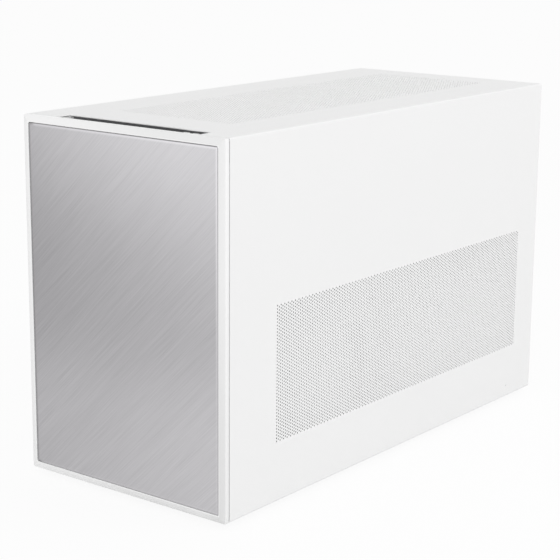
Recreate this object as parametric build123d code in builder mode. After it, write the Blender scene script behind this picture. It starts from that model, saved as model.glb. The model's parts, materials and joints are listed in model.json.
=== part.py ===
"""Desktop computer tower: a micro-ATX case under a one-piece sliding cover, with the computer inside.

Frame: millimetres, +X to the right seen from the front, +Y to the back, +Z up.
The origin is on the ground, at the centre of the overall length and width.
"""
import os
from math import ceil, copysign, cos, floor, radians, sin, sqrt

from build123d import *

os.makedirs("parts", exist_ok=True)

# ------------------------------------------------------------------ case
case_width = 205.0          # over the cover's sides
case_height = 291.0         # from the cover's lower edge to its top
case_depth = 457.0          # from the bezel's rim to the cover's rear edge
ground_gap = 5.0            # from the ground to the cover's lower edge
sheet = 0.8                 # steel sheet of the cover and the chassis
bend_radius = 1.6           # outside radius of the cover's two long bends
slide_gap = 0.4             # between the chassis and the cover that slides over it
hem_width = 8.0             # inward hem along the cover's lower edges
rear_recess = 4.0           # the rear panel lies this far inside the cover's rear edge
rear_flange_width = 15.0    # the cover's rear flanges, which the thumbscrews hold

# ------------------------------------------------------------------ front
rim_depth = 4.2             # side of the bezel's rim
bevel_depth = 1.4           # the rim's bevel stands this far forward of its side
bezel_border = 5.9          # rim width round the front plate
bezel_lip = 0.6             # flat edge between the bevel and the plate's pocket
rim_radius = 1.6            # corners of the rim
seam = 0.8                  # shadow gap between the bezel and the cover
plate_thickness = 2.0       # brushed aluminium plate
plate_gap = 0.3             # round the plate in its pocket
plate_sunk = 0.25           # the plate's face lies this far behind the lip
plate_radius = 1.4
skirt_wall = 1.8            # skirt behind the rim
skirt_drop = 18.0           # the skirt's sides stop this far below the top
clip_width = 3.6            # snap clips that hold the bezel, along X
clip_height = 9.0
clip_clear = 0.3
clip_arm = 6.0              # web from each clip to the skirt, along Y
clip_reach = 4.0            # the clips come through the front wall by this much

# ------------------------------------------------------------------ top notch and its ports
notch_length = 144.5
notch_shift = 2.25          # the notch's middle lies this far to the right of the case's
notch_depth = 13.2
wall_setback = 2.8          # from the notch to the chassis front wall

# ------------------------------------------------------------------ punched fields of the cover
field_start = 60.5          # from the bezel's rim to the fields
field_end = 32.5            # from the fields to the cover's rear edge
side_field_bottom = 48.0    # above the cover's lower edge
side_field_height = 110.5
top_field_width = 117.5
punch_pitch = 35.8          # fourteen pitches of the sheet's fine punching, with one large hole for them
punch_width = 24.0          # corner to corner across a hole

# ------------------------------------------------------------------ feet and dust filter
foot_radius = 11.0
foot_inset = 21.5           # from the cover's side to a foot's centre
foot_end_inset = 36.0       # from the ends of the floor to a foot's centre
filter_width = 120.0
filter_length = 300.0
filter_thickness = 2.2
filter_border = 7.0
filter_mesh = 0.4
rail_wall = 1.0
rail_lip = 3.0

# ------------------------------------------------------------------ motherboard
cable_space = 15.5          # behind the tray
standoff_height = 6.5
standoff_radius = 2.8
board_thickness = 1.6
board_lift = 23.0           # from the chassis floor to the board
board_top_gap = 20.8        # from the board to the top frame, which leaves 244 mm for a micro-ATX board
board_front_gap = 20.8      # from the power supply to the board, which leaves 244 mm as well
board_rear_gap = 0.6
hole_inset = 6.5            # from the board's edges to its outer screws
slot_pitch = 20.32
first_slot_height = 77.5    # from the board's lower edge to its first card slot
slot_count = 4
io_width = 44.45            # opening for the rear ports
io_above_board = 8.75       # the opening ends this far above the board
io_above_slot = 16.5
slot_cover_half = 9.2       # half the height of a slot cover
slot_cover_tab = 6.0        # a cover reaches past its slot by this much
slot_cover_fold = 11.0
io_below_board = 3.8        # the opening starts this far behind the board's face

# ------------------------------------------------------------------ fans
fan_size = 120.0
fan_depth = 25.0
fan_rim = 2.5               # thinnest wall of a fan frame, round its bore
fan_side_gap = 5.0          # from the rear fan to the opening for the rear ports
fan_flange_gap = 11.75      # and from it to the folded edge of the rear panel
fan_corner = 5.0
fan_tip_gap = 1.5
hub_radius = 19.5
hub_wall = 1.8
stator_radius = 15.5
shaft_radius = 1.5
shaft_clear = 0.05
strut_width = 4.0
motor_base_depth = 3.5
blade_count = 7
blade_pitch = 36.0          # degrees
blade_thickness = 1.4

# ------------------------------------------------------------------ processor cooler and memory
cpu_above_card = 81.5       # socket centre above the first card slot
cpu_from_rear = 105.0       # and from its rear edge
socket_size = 42.0
socket_height = 7.5
cooler_height = 152.0       # above the board
cooler_width = 120.0
cooler_depth = 50.0
fin_stack = 108.0
fin_count = 18
fin_thickness = 0.8
pipe_radius = 3.0
memory_above_card = 23.15   # lower end of the modules above the first card slot
memory_below_top = 10.0     # upper end of the modules below the board's top edge
memory_height = 34.0
memory_thickness = 7.2
memory_pitch = 9.5
memory_slot_height = 7.0
memory_from_cpu = 66.0      # first memory slot from the socket's centre

# ------------------------------------------------------------------ graphics card
card_front_gap = 7.4        # from the power supply to the graphics card
card_width = 98.5
card_board = 1.6
card_thickness = 38.0
card_fan_radius = 41.0
card_hub_radius = 15.0
card_blades = 7
shroud_wall = 1.6

# ------------------------------------------------------------------ power supply
supply_width = 86.0         # along X
supply_depth = 140.0        # along Y
supply_height = 150.0       # along Z
supply_lift = 41.0          # above the chassis floor
supply_side_gap = 1.8       # to the chassis side
supply_setback = 25.0       # behind the front wall, room for the angled plug
supply_wall = 1.0
supply_inlet_inset = 33.5   # from the supply's left side to the middle of its inlet
cable_inset = 14.5          # from its right side to the middle of its cable
rocker_above_inlet = 34.0
inlet_wide = 24.0           # opening of a mains inlet
inlet_narrow = 16.4
inlet_depth = 16.0
inlet_flange = 4.0
blade_pin_width = 2.0
blade_pin_height = 4.0
blade_pin_spread = 7.0
cord_radius = 3.4

# ------------------------------------------------------------------ drives
disk_width = 101.6
disk_length = 147.0
disk_thickness = 26.1
ssd_width = 69.85
ssd_length = 100.0
ssd_thickness = 7.0

# ------------------------------------------------------------------ places that follow from the sizes
thumb_head = 7.0
thumb_radius = 5.5
tab_gap = 0.2               # between the rear panel and the cover's rear flanges
thumb_proud = tab_gap + sheet + thumb_head - rear_recess
front_y = bevel_depth - (bevel_depth + case_depth + thumb_proud) / 2
cover_front_y = front_y + rim_depth + seam
cover_rear_y = front_y + case_depth
rear_y = cover_rear_y - rear_recess
notch_rear_y = cover_front_y + notch_depth
wall_y = notch_rear_y + wall_setback
inner_front_y = wall_y + sheet
inner_rear_y = rear_y - sheet

base_z = ground_gap
top_z = base_z + case_height
mid_z = base_z + case_height / 2
ceiling_z = top_z - sheet
frame_top_z = ceiling_z - slide_gap
pan_z = base_z + sheet + slide_gap
floor_z = pan_z + sheet

half_width = case_width / 2
chassis_half = half_width - sheet - slide_gap
tray_x = chassis_half - cable_space - sheet
board_x = tray_x - standoff_height - board_thickness

supply_front_y = inner_front_y + supply_setback
supply_rear_y = supply_front_y + supply_depth
board_rear_y = inner_rear_y - board_rear_gap
board_front_y = supply_rear_y + board_front_gap
board_z = floor_z + board_lift
board_top_z = frame_top_z - board_top_gap
slot_heights = [board_z + first_slot_height - n * slot_pitch for n in range(slot_count)]
cpu_y = board_rear_y - cpu_from_rear
cpu_z = slot_heights[0] + cpu_above_card
fan_bore = fan_size / 2 - fan_rim


# ------------------------------------------------------------------ helpers
def across(y):
    """Plane across the case at depth y, facing the front: local x is X and local y is Z."""
    return Plane.XZ.offset(-y)


def lengthwise(x):
    """Plane along the case at X = x, facing right: local x is Y and local y is Z."""
    return Plane.YZ.offset(x)


def level(z):
    """Horizontal plane at height z, facing up."""
    return Plane.XY.offset(z)


def block(low, high, mode=Mode.ADD):
    """A box between two corners, in the part being built."""
    middle = tuple((a + b) / 2 for a, b in zip(low, high))
    with Locations(middle):
        Box(*[b - a for a, b in zip(low, high)], mode=mode)


def keep(part, name):
    """Labels a finished piece and writes it."""
    part.label = name
    export_step(part, f"parts/{name}.step")


def window(x0, x1, y0, y1):
    """A rectangle between two corners, cut from the sketch being drawn."""
    with Locations(((x0 + x1) / 2, (y0 + y1) / 2)):
        Rectangle(x1 - x0, y1 - y0, mode=Mode.SUBTRACT)


def bars_in_circle(radius, pitch, slot):
    """Centres and lengths of the straight slots that fill a circle, one above the other."""
    rows = floor((radius - slot / 2) / pitch)
    heights = [row * pitch for row in range(-rows, rows + 1)]
    return [(h, 2 * sqrt(radius**2 - (abs(h) + slot / 2) ** 2)) for h in heights]


# ------------------------------------------------------------------ front bezel and plate
plate_face_y = front_y - bevel_depth + plate_sunk
plate_back_y = plate_face_y + plate_thickness
plate_width = case_width - 2 * (bezel_border + plate_gap)
plate_height = case_height - 2 * (bezel_border + plate_gap)

with BuildPart() as front_plate:
    with BuildSketch(across(plate_back_y)) as outline:
        with Locations((0, mid_z)):
            RectangleRounded(plate_width, plate_height, plate_radius)
    extrude(amount=plate_thickness)
    chamfer(front_plate.faces().sort_by(Axis.Y)[0].edges(), 0.35)
keep(front_plate.part, "front_plate")

rim_back_y = front_y + rim_depth
rib_half = 0.8
skirt_half = half_width - sheet - 1.0
skirt_base_z = base_z + sheet + 1.0
skirt_end_y = wall_y - 0.5
clip_x = half_width - 9.5
clip_heights = [base_z + case_height * share for share in (0.12, 0.5, 0.86)]
clip_places = [(side * clip_x, height) for side in (-1, 1) for height in clip_heights]

with BuildPart() as front_bezel:
    with BuildSketch(across(front_y)) as rim_side:
        with Locations((0, mid_z)):
            RectangleRounded(case_width, case_height, rim_radius)
    extrude(amount=-rim_depth)
    with BuildSketch(across(front_y)) as bevel_foot:
        with Locations((0, mid_z)):
            RectangleRounded(case_width, case_height, rim_radius)
    with BuildSketch(across(front_y - bevel_depth)) as bevel_top:
        with Locations((0, mid_z)):
            lip_inset = 2 * (bezel_border - bezel_lip)
            RectangleRounded(case_width - lip_inset, case_height - lip_inset, rim_radius)
    loft()
    with BuildSketch(across(plate_back_y)) as plate_pocket:
        with Locations((0, mid_z)):
            RectangleRounded(
                case_width - 2 * bezel_border, case_height - 2 * bezel_border, plate_radius + plate_gap
            )
    extrude(amount=2 * plate_thickness, mode=Mode.SUBTRACT)
keep(front_bezel.part, "front_bezel")

# carrier behind the bezel: a skirt with two sides and a floor that reach into the cover, ribs and snap clips
with BuildPart() as bezel_carrier:
    with BuildSketch(across(skirt_end_y)) as skirt:
        skirt_mid_z = (skirt_base_z + top_z - skirt_drop) / 2
        with Locations((0, skirt_mid_z)):
            Rectangle(2 * skirt_half, top_z - skirt_drop - skirt_base_z)
        window(-skirt_half + skirt_wall, skirt_half - skirt_wall, skirt_base_z + skirt_wall, top_z)
    extrude(amount=skirt_end_y - rim_back_y)
    rib_end_y = skirt_end_y - 4
    for rib_x in (-0.2 * case_width, 0.2 * case_width):
        block(
            (rib_x - rib_half, rim_back_y, skirt_base_z + skirt_wall / 2), (rib_x + rib_half, rib_end_y, top_z - 32)
        )
    for rib_z in (base_z + 0.33 * case_height, base_z + 0.64 * case_height):
        block(
            (-skirt_half + skirt_wall / 2, rim_back_y, rib_z - rib_half),
            (skirt_half - skirt_wall / 2, rib_end_y, rib_z + rib_half),
        )
    with BuildSketch(across(inner_front_y + clip_reach)) as clips:
        with Locations(*clip_places):
            Rectangle(clip_width, clip_height)
    extrude(amount=inner_front_y + clip_reach - rim_back_y)
    chamfer(bezel_carrier.faces().group_by(Axis.Y)[-1].edges().filter_by(Axis.Z), 1.2)
    for clip_middle_x, clip_z in clip_places:
        arm_low_x, arm_high_x = sorted((clip_middle_x, copysign(skirt_half - skirt_wall / 2, clip_middle_x)))
        block(
            (arm_low_x, rim_back_y, clip_z - clip_height / 2),
            (arm_high_x, rim_back_y + clip_arm, clip_z + clip_height / 2),
        )
keep(bezel_carrier.part, "bezel_carrier")

# ------------------------------------------------------------------ cover: one bent sheet over the top and both sides
cover_length = cover_rear_y - cover_front_y
field_front_y = front_y + field_start
field_length = case_depth - field_start - field_end
field_rear_y = field_front_y + field_length
field_mid_y = (field_front_y + field_rear_y) / 2
side_field_z = base_z + side_field_bottom
thumb_x = half_width - sheet - rear_flange_width / 2
thumb_heights = [base_z + 34.0, top_z - 34.0]
thumb_places = [(side * thumb_x, height) for side in (-1, 1) for height in thumb_heights]

# the sheet is drawn flat by flat: they meet face to face along the bend lines
bend_z = top_z - bend_radius
with BuildPart() as cover_roof:
    with BuildSketch(across(cover_rear_y)) as section:
        with Locations((0, mid_z)):
            Rectangle(case_width, case_height)
        fillet(section.vertices().group_by(Axis.Z)[-1], bend_radius)
        with BuildSketch(across(cover_rear_y), mode=Mode.SUBTRACT) as inside:
            with Locations((0, mid_z)):
                Rectangle(case_width - 2 * sheet, case_height - 2 * sheet)
            fillet(inside.vertices().group_by(Axis.Z)[-1], bend_radius - sheet)
        window(-half_width, half_width, base_z, bend_z)
    extrude(amount=cover_length)
    # notch at the front, and the window of the punched field
    block(
        (notch_shift - notch_length / 2, cover_front_y, ceiling_z),
        (notch_shift + notch_length / 2, notch_rear_y, top_z),
        Mode.SUBTRACT,
    )
    block(
        (-top_field_width / 2, field_front_y, ceiling_z),
        (top_field_width / 2, field_rear_y, top_z),
        Mode.SUBTRACT,
    )
cover_flats = [cover_roof.part]
flange_y = rear_y + tab_gap
for side in (-1, 1):
    low_x, high_x = sorted((side * half_width, side * (half_width - sheet)))
    with BuildPart() as cover_side:
        block((low_x, cover_front_y, base_z), (high_x, cover_rear_y, bend_z))
        block(
            (low_x, field_front_y, side_field_z),
            (high_x, field_rear_y, side_field_z + side_field_height),
            Mode.SUBTRACT,
        )
    low_x, high_x = sorted((side * (half_width - sheet), side * (half_width - hem_width)))
    with BuildPart() as hem:
        block((low_x, cover_front_y, base_z), (high_x, cover_rear_y, base_z + sheet))
    # flange folded inwards behind the rear panel
    low_x, high_x = sorted((side * (half_width - sheet), side * (half_width - sheet - rear_flange_width)))
    with BuildPart() as rear_flange:
        block((low_x, flange_y, pan_z), (high_x, flange_y + sheet, bend_z))
    cover_flats += [cover_side.part, hem.part, rear_flange.part]
keep(Compound([solid for flat in cover_flats for solid in flat.solids()]), "cover_shell")


def punched_field(plane, width, height):
    """A field of the cover's sheet with staggered diamond holes, on a plane at its inner face."""
    row_pitch = punch_pitch * sqrt(3) / 2
    columns = floor((width - punch_width) / row_pitch / 2)
    rows = floor((height - punch_width) / punch_pitch)
    with BuildPart() as field:
        with BuildSketch(plane) as face:
            Rectangle(width, height)
            holes = []
            for column in range(-columns, columns + 1):
                count = rows + 1 if column % 2 == 0 else rows
                start = -(count - 1) / 2 * punch_pitch
                holes += [(column * row_pitch, start + n * punch_pitch) for n in range(count)]
            with Locations(*holes):
                Rectangle(punch_width / sqrt(2), punch_width / sqrt(2), rotation=45, mode=Mode.SUBTRACT)
        extrude(amount=sheet)
    return field.part


side_field_mid_z = side_field_z + side_field_height / 2
top_plane = Plane(origin=(0, field_mid_y, ceiling_z), x_dir=(0, 1, 0), z_dir=(0, 0, 1))
right_plane = Plane(origin=(half_width - sheet, field_mid_y, side_field_mid_z), x_dir=(0, 1, 0), z_dir=(1, 0, 0))
left_plane = Plane(origin=(-half_width + sheet, field_mid_y, side_field_mid_z), x_dir=(0, 1, 0), z_dir=(-1, 0, 0))
keep(punched_field(top_plane, field_length, top_field_width), "cover_top_field")
keep(punched_field(right_plane, field_length, side_field_height), "cover_right_field")
keep(punched_field(left_plane, field_length, side_field_height), "cover_left_field")

with BuildPart() as cover_thumbscrews:
    head_y = flange_y + sheet
    with BuildSketch(across(head_y + thumb_head)) as heads:
        with Locations(*thumb_places):
            RegularPolygon(thumb_radius, 14)
    extrude(amount=thumb_head)
keep(cover_thumbscrews.part, "cover_thumbscrews")

# ------------------------------------------------------------------ chassis
flange = 12.0               # folded edges of the chassis panels
floor_slot = 10.0
floor_slot_pitch = 20.0
filter_rear_y = inner_rear_y - 4.0
filter_mid_y = filter_rear_y - filter_length / 2
rail_top_z = pan_z
filter_top_z = pan_z - slide_gap
rail_x = filter_width / 2 + slide_gap

with BuildPart() as chassis_floor:
    with BuildSketch(level(pan_z)) as pan:
        with Locations((0, (inner_front_y + inner_rear_y) / 2)):
            Rectangle(2 * chassis_half, inner_rear_y - inner_front_y)
        slot_rows = floor((filter_length - 60) / floor_slot_pitch)
        vents = [(0, filter_mid_y + (row - slot_rows / 2) * floor_slot_pitch) for row in range(slot_rows + 1)]
        with Locations(*vents):
            Rectangle(filter_width - 24, floor_slot, mode=Mode.SUBTRACT)
    extrude(amount=sheet)
    for side in (-1, 1):
        low_x, high_x = sorted((side * chassis_half, side * (chassis_half - sheet)))
        block((low_x, inner_front_y, pan_z), (high_x, inner_rear_y, pan_z + flange))
        # guide rail of the dust filter, under the floor
        low_x, high_x = sorted((side * rail_x, side * (rail_x + rail_wall)))
        rail_low_z = filter_top_z - filter_thickness - slide_gap
        block((low_x, filter_rear_y - filter_length, rail_low_z - rail_wall), (high_x, filter_rear_y, pan_z))
        low_x, high_x = sorted((side * (rail_x + rail_wall), side * (rail_x - rail_lip)))
        block(
            (low_x, filter_rear_y - filter_length, rail_low_z - rail_wall), (high_x, filter_rear_y, rail_low_z)
        )
keep(chassis_floor.part, "chassis_floor")

filter_low_z = filter_top_z - filter_thickness
with BuildPart() as dust_filter_frame:
    with BuildSketch(level(filter_low_z)) as border:
        with Locations((0, filter_mid_y)):
            Rectangle(filter_width, filter_length)
        for half in (-1, 1):
            opening = (filter_length - 3 * filter_border) / 2
            with Locations((0, filter_mid_y + half * (opening + filter_border) / 2)):
                Rectangle(filter_width - 2 * filter_border, opening, mode=Mode.SUBTRACT)
    extrude(amount=filter_thickness)
    # pull tab at the rear
    block((-14, filter_rear_y - 0.5, filter_low_z), (14, filter_rear_y + 6, filter_top_z))
    fillet(dust_filter_frame.edges().filter_by(Axis.Z).group_by(Axis.Y)[-1], 3)
keep(dust_filter_frame.part, "dust_filter_frame")

with BuildPart() as dust_filter_mesh:
    for half in (-1, 1):
        opening = (filter_length - 3 * filter_border) / 2
        centre_y = filter_mid_y + half * (opening + filter_border) / 2
        centre_z = filter_low_z + filter_thickness / 2
        with Locations((0, centre_y, centre_z)):
            Box(filter_width - 2 * filter_border, opening, filter_mesh)
keep(dust_filter_mesh.part, "dust_filter_mesh")

foot_x = half_width - foot_inset
foot_places = [
    (side * foot_x, y)
    for side in (-1, 1)
    for y in (inner_front_y + foot_end_inset, inner_rear_y - foot_end_inset)
]
with BuildPart() as feet:
    with BuildSketch(level(0)) as pads:
        with Locations(*foot_places):
            RegularPolygon(foot_radius, 16)
    extrude(amount=pan_z)
keep(feet.part, "feet")

with BuildPart() as chassis_front_wall:
    with BuildSketch(across(inner_front_y)) as wall:
        with Locations((0, (pan_z + frame_top_z) / 2)):
            Rectangle(2 * chassis_half, frame_top_z - pan_z)
        with Locations(*clip_places):
            Rectangle(clip_width + 2 * clip_clear, clip_height + 2 * clip_clear, mode=Mode.SUBTRACT)
        # cable pass under the port module, and two lightening windows
        window(-52, -28, top_z - 50, top_z - 32)
        window(-62, 62, base_z + 14, base_z + 0.43 * case_height)
        window(-62, 62, base_z + 0.57 * case_height, base_z + 0.8 * case_height)
    extrude(amount=sheet)
    for side in (-1, 1):
        low_x, high_x = sorted((side * chassis_half, side * (chassis_half - sheet)))
        block((low_x, inner_front_y, pan_z + flange), (high_x, inner_front_y + flange, frame_top_z - flange))
keep(chassis_front_wall.part, "chassis_front_wall")

io_right_x = board_x + io_below_board
io_low_z = slot_heights[0] + io_above_slot
io_high_z = board_top_z + io_above_board
io_height = io_high_z - io_low_z
# the rear fan fills the width between the rear ports and the panel's folded edge
rear_fan_right_x = io_right_x - io_width - fan_side_gap
rear_fan_left_x = -chassis_half + sheet + fan_flange_gap
rear_fan_size = rear_fan_right_x - rear_fan_left_x
rear_fan_bore = rear_fan_size / 2 - fan_rim
rear_fan_x = (rear_fan_left_x + rear_fan_right_x) / 2
rear_fan_z = cpu_z
slot_right_x = board_x - 3.0
slot_left_x = slot_right_x - 104.0
slot_opening = 13.0
inlet_x = -68.0
inlet_z = base_z + 31.0

with BuildPart() as chassis_rear_panel:
    with BuildSketch(across(rear_y)) as panel:
        with Locations((0, (pan_z + frame_top_z) / 2)):
            Rectangle(2 * chassis_half, frame_top_z - pan_z)
        window(io_right_x - io_width, io_right_x, io_low_z, io_high_z)
        for height in slot_heights:
            window(slot_left_x, slot_right_x, height - slot_opening / 2, height + slot_opening / 2)
        for height, length in bars_in_circle(rear_fan_bore, 9.0, 6.0):
            with Locations((rear_fan_x, rear_fan_z + height)):
                Rectangle(length, 6.0, mode=Mode.SUBTRACT)
        window(inlet_x - 11, inlet_x + 11, inlet_z - 14.5, inlet_z + 14.5)
    extrude(amount=sheet)
    for side in (-1, 1):
        low_x, high_x = sorted((side * chassis_half, side * (chassis_half - sheet)))
        block((low_x, inner_rear_y - flange, pan_z + flange), (high_x, inner_rear_y, frame_top_z - flange))
keep(chassis_rear_panel.part, "chassis_rear_panel")

socket_window = 110.0
with BuildPart() as motherboard_tray:
    with BuildSketch(lengthwise(tray_x)) as tray:
        tray_mid = ((inner_front_y + inner_rear_y) / 2, (floor_z + frame_top_z - sheet) / 2)
        with Locations(tray_mid):
            Rectangle(inner_rear_y - inner_front_y, frame_top_z - sheet - floor_z)
        window(cpu_y - socket_window / 2, cpu_y + socket_window / 2, cpu_z - 45, cpu_z + 45)
        # cable windows in front of the board and above it
        window(board_front_y - 26, board_front_y - 6, board_z + 20, board_z + 90)
        window(board_front_y - 26, board_front_y - 6, board_z + 150, board_z + 220)
        window(board_rear_y - 90, board_rear_y - 40, board_top_z + 3, board_top_z + 13)
    extrude(amount=sheet)
    # lower foot of the tray, folded towards the right side
    block((tray_x, inner_front_y, floor_z), (tray_x + flange, inner_rear_y, floor_z + sheet))
keep(motherboard_tray.part, "motherboard_tray")

with BuildPart() as chassis_top_frame:
    with BuildSketch(level(frame_top_z - sheet)) as top:
        with Locations((0, (inner_front_y + inner_rear_y) / 2)):
            Rectangle(2 * chassis_half, inner_rear_y - inner_front_y)
        with Locations((0, field_mid_y)):
            Rectangle(top_field_width, field_length, mode=Mode.SUBTRACT)
        # two rows of slots take fans or a radiator
        for side in (-1, 1):
            for place in range(-2, 3):
                with Locations((side * (top_field_width / 2 + 8), field_mid_y + place * 66)):
                    Rectangle(4.5, 42, mode=Mode.SUBTRACT)
    extrude(amount=sheet)
    for side in (-1, 1):
        low_x, high_x = sorted((side * chassis_half, side * (chassis_half - sheet)))
        block((low_x, inner_front_y, frame_top_z - flange), (high_x, inner_rear_y, frame_top_z))
    # two ties across the opening
    for share in (1 / 3, 2 / 3):
        tie_y = field_front_y + share * field_length
        block(
            (-top_field_width / 2 - 1, tie_y - 5, frame_top_z - sheet),
            (top_field_width / 2 + 1, tie_y + 5, frame_top_z),
        )
keep(chassis_top_frame.part, "chassis_top_frame")

# ------------------------------------------------------------------ port channel in the top notch
channel_low_x = notch_shift - notch_length / 2 + 0.6
channel_high_x = notch_shift + notch_length / 2 - 0.6
channel_front_y = cover_front_y + 0.5
channel_bottom_z = top_z - 26.0
channel_wall = 1.4
deck_drop = 8.0             # the port deck lies this far below the top
deck_z = top_z - deck_drop
well_mid_y = (channel_front_y + wall_y) / 2
button_x = 56.5
button_length = 15.0
button_width = 8.6
button_travel = 1.5
button_dish = 4.6           # width of the dish across the middle of its top
dish_depth = 1.3
usb_places = [-30.0, -8.0]
usb_length, usb_width = 14.4, 6.8
usb_c_x = 14.0
usb_c_length, usb_c_width = 9.2, 3.4
jack_x = -50.0
jack_radius = 3.2
lamp_x = 34.0
port_depth = 12.0

with BuildPart() as io_channel:
    block((channel_low_x, channel_front_y, channel_bottom_z), (channel_high_x, wall_y, ceiling_z - 0.3))
    block(
        (channel_low_x + channel_wall, channel_front_y + channel_wall, deck_z),
        (channel_high_x - channel_wall, wall_y - channel_wall, top_z),
        Mode.SUBTRACT,
    )
    block(
        (channel_low_x + channel_wall, channel_front_y + channel_wall, channel_bottom_z),
        (channel_high_x - channel_wall, wall_y - channel_wall, deck_z - 1.6),
        Mode.SUBTRACT,
    )
    with BuildSketch(level(deck_z)) as port_holes:
        with Locations(*[(x, well_mid_y) for x in usb_places]):
            Rectangle(usb_length + 0.2, usb_width + 0.2)
        with Locations((usb_c_x, well_mid_y)):
            Rectangle(usb_c_length + 0.2, usb_c_width + 0.2)
        with Locations((jack_x, well_mid_y)):
            Rectangle(2 * jack_radius + 2.2, 2 * jack_radius + 2.2)
        with Locations((lamp_x, well_mid_y)):
            Rectangle(3.2, 3.2)
        with Locations((button_x, well_mid_y)):
            Rectangle(button_length + 0.6, button_width + 0.6)
    extrude(amount=-3.0, mode=Mode.SUBTRACT)
keep(io_channel.part, "io_channel")

with BuildPart() as io_ports:
    with BuildSketch(level(deck_z - port_depth)) as port_bodies:
        with Locations(*[(x, well_mid_y) for x in usb_places]):
            Rectangle(usb_length, usb_width)
        with Locations((usb_c_x, well_mid_y)):
            Rectangle(usb_c_length, usb_c_width)
        with Locations((jack_x, well_mid_y)):
            Rectangle(2 * jack_radius + 2, 2 * jack_radius + 2)
        with Locations((lamp_x, well_mid_y)):
            Rectangle(3.0, 3.0)
    extrude(amount=port_depth)
    with BuildSketch(level(deck_z)) as port_mouths:
        with Locations(*[(x, well_mid_y) for x in usb_places]):
            Rectangle(usb_length - 1, usb_width - 1)
        with Locations(*[(x, well_mid_y + 1.4) for x in usb_places]):
            Rectangle(usb_length - 3.4, 1.8, mode=Mode.SUBTRACT)
        with Locations((usb_c_x, well_mid_y)):
            Rectangle(usb_c_length - 0.8, usb_c_width - 0.8)
            Rectangle(usb_c_length - 2.6, 0.7, mode=Mode.SUBTRACT)
        with Locations((jack_x, well_mid_y)):
            RegularPolygon(1.9, 8)
    extrude(amount=-port_depth + 2, mode=Mode.SUBTRACT)
keep(io_ports.part, "io_ports")

board_gap_z = deck_z - port_depth
with BuildPart() as io_board:
    block(
        (channel_low_x + channel_wall, channel_front_y + channel_wall, board_gap_z - 1.6),
        (channel_high_x - channel_wall, wall_y - channel_wall, board_gap_z),
    )
    # push switch under the power button
    block((button_x - 3.2, well_mid_y - 3.2, board_gap_z), (button_x + 3.2, well_mid_y + 3.2, board_gap_z + 3.4))
keep(io_board.part, "io_board")

switch_top_z = board_gap_z + 3.4
button_top_z = ceiling_z - 1.2
with BuildPart() as power_button:
    with BuildSketch(level(deck_z - 4.4)) as cap:
        with Locations((button_x, well_mid_y)):
            Rectangle(button_length, button_width)
    extrude(amount=button_top_z - deck_z + 4.4)
    chamfer(power_button.faces().sort_by(Axis.Z)[-1].edges(), 0.5)
    # shallow dish that a fingertip finds
    with BuildSketch(across(well_mid_y + button_width / 2)) as dish:
        with BuildLine():
            Polyline(
                (button_x - button_dish / 2, button_top_z),
                (button_x - button_dish / 4, button_top_z - dish_depth),
                (button_x + button_dish / 4, button_top_z - dish_depth),
                (button_x + button_dish / 2, button_top_z),
                close=True,
            )
        make_face()
    extrude(amount=button_width, mode=Mode.SUBTRACT)
    # stem down to the switch
    stem_end_z = switch_top_z + button_travel + 0.1
    block((button_x - 1.6, well_mid_y - 1.6, stem_end_z), (button_x + 1.6, well_mid_y + 1.6, deck_z - 4.3))
keep(power_button.part, "power_button")


# ------------------------------------------------------------------ fans
def fan_frame(face, size, depth, bore):
    """A square fan frame on a plane at its exhaust side, with the motor base on four struts."""
    with BuildPart() as frame:
        with BuildSketch(face) as ring:
            Rectangle(size, size)
            chamfer(ring.vertices(), fan_corner)
            RegularPolygon(bore, 48, mode=Mode.SUBTRACT)
        extrude(amount=depth)
        with BuildSketch(face) as motor_base:
            RegularPolygon(stator_radius, 12)
            Rectangle(2 * bore + 1, strut_width, rotation=45)
            Rectangle(2 * bore + 1, strut_width, rotation=-45)
        extrude(amount=motor_base_depth)
        with BuildSketch(face) as bearing:
            Circle(shaft_radius + shaft_clear)
        extrude(amount=motor_base_depth, mode=Mode.SUBTRACT)
    return frame.part


def blade_plane(face, height, turn, pitch):
    """Plane of one blade: local x runs outwards along the blade, tilted by the pitch about that line."""
    outward = face.x_dir * cos(radians(turn)) + face.y_dir * sin(radians(turn))
    sideways = face.z_dir.cross(outward)
    normal = face.z_dir * cos(radians(pitch)) + sideways * sin(radians(pitch))
    return Plane(origin=face.origin + face.z_dir * height, x_dir=outward, z_dir=normal)


def fan_rotor(face, low, high, tip, hub, shaft_end, blades, pitch):
    """A rotor above the face of its bearing: hub, shaft down into the bearing, and flat swept blades."""
    chord = (high - low - 2.5) / sin(radians(pitch))
    inner, outer = hub - 2.5, sqrt(tip**2 - (0.6 * chord) ** 2)
    with BuildPart() as rotor:
        with BuildSketch(face.offset(low)) as cup:
            RegularPolygon(hub, 3 * blades)
        extrude(amount=high - low)
        with BuildSketch(face.offset(-shaft_end)) as shaft:
            Circle(shaft_radius)
        extrude(amount=shaft_end + low + 1)
        for blade in range(blades):
            with BuildSketch(blade_plane(face, (low + high) / 2, 360 / blades * blade, pitch)) as planform:
                with BuildLine():
                    Polyline(
                        (inner, -0.34 * chord),
                        (0.5 * (inner + outer), -0.5 * chord),
                        (outer, -0.44 * chord),
                        (outer, 0.5 * chord),
                        (0.5 * (inner + outer), 0.4 * chord),
                        (inner, 0.34 * chord),
                        close=True,
                    )
                make_face()
            extrude(amount=blade_thickness / 2, both=True)
    return rotor.part


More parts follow.
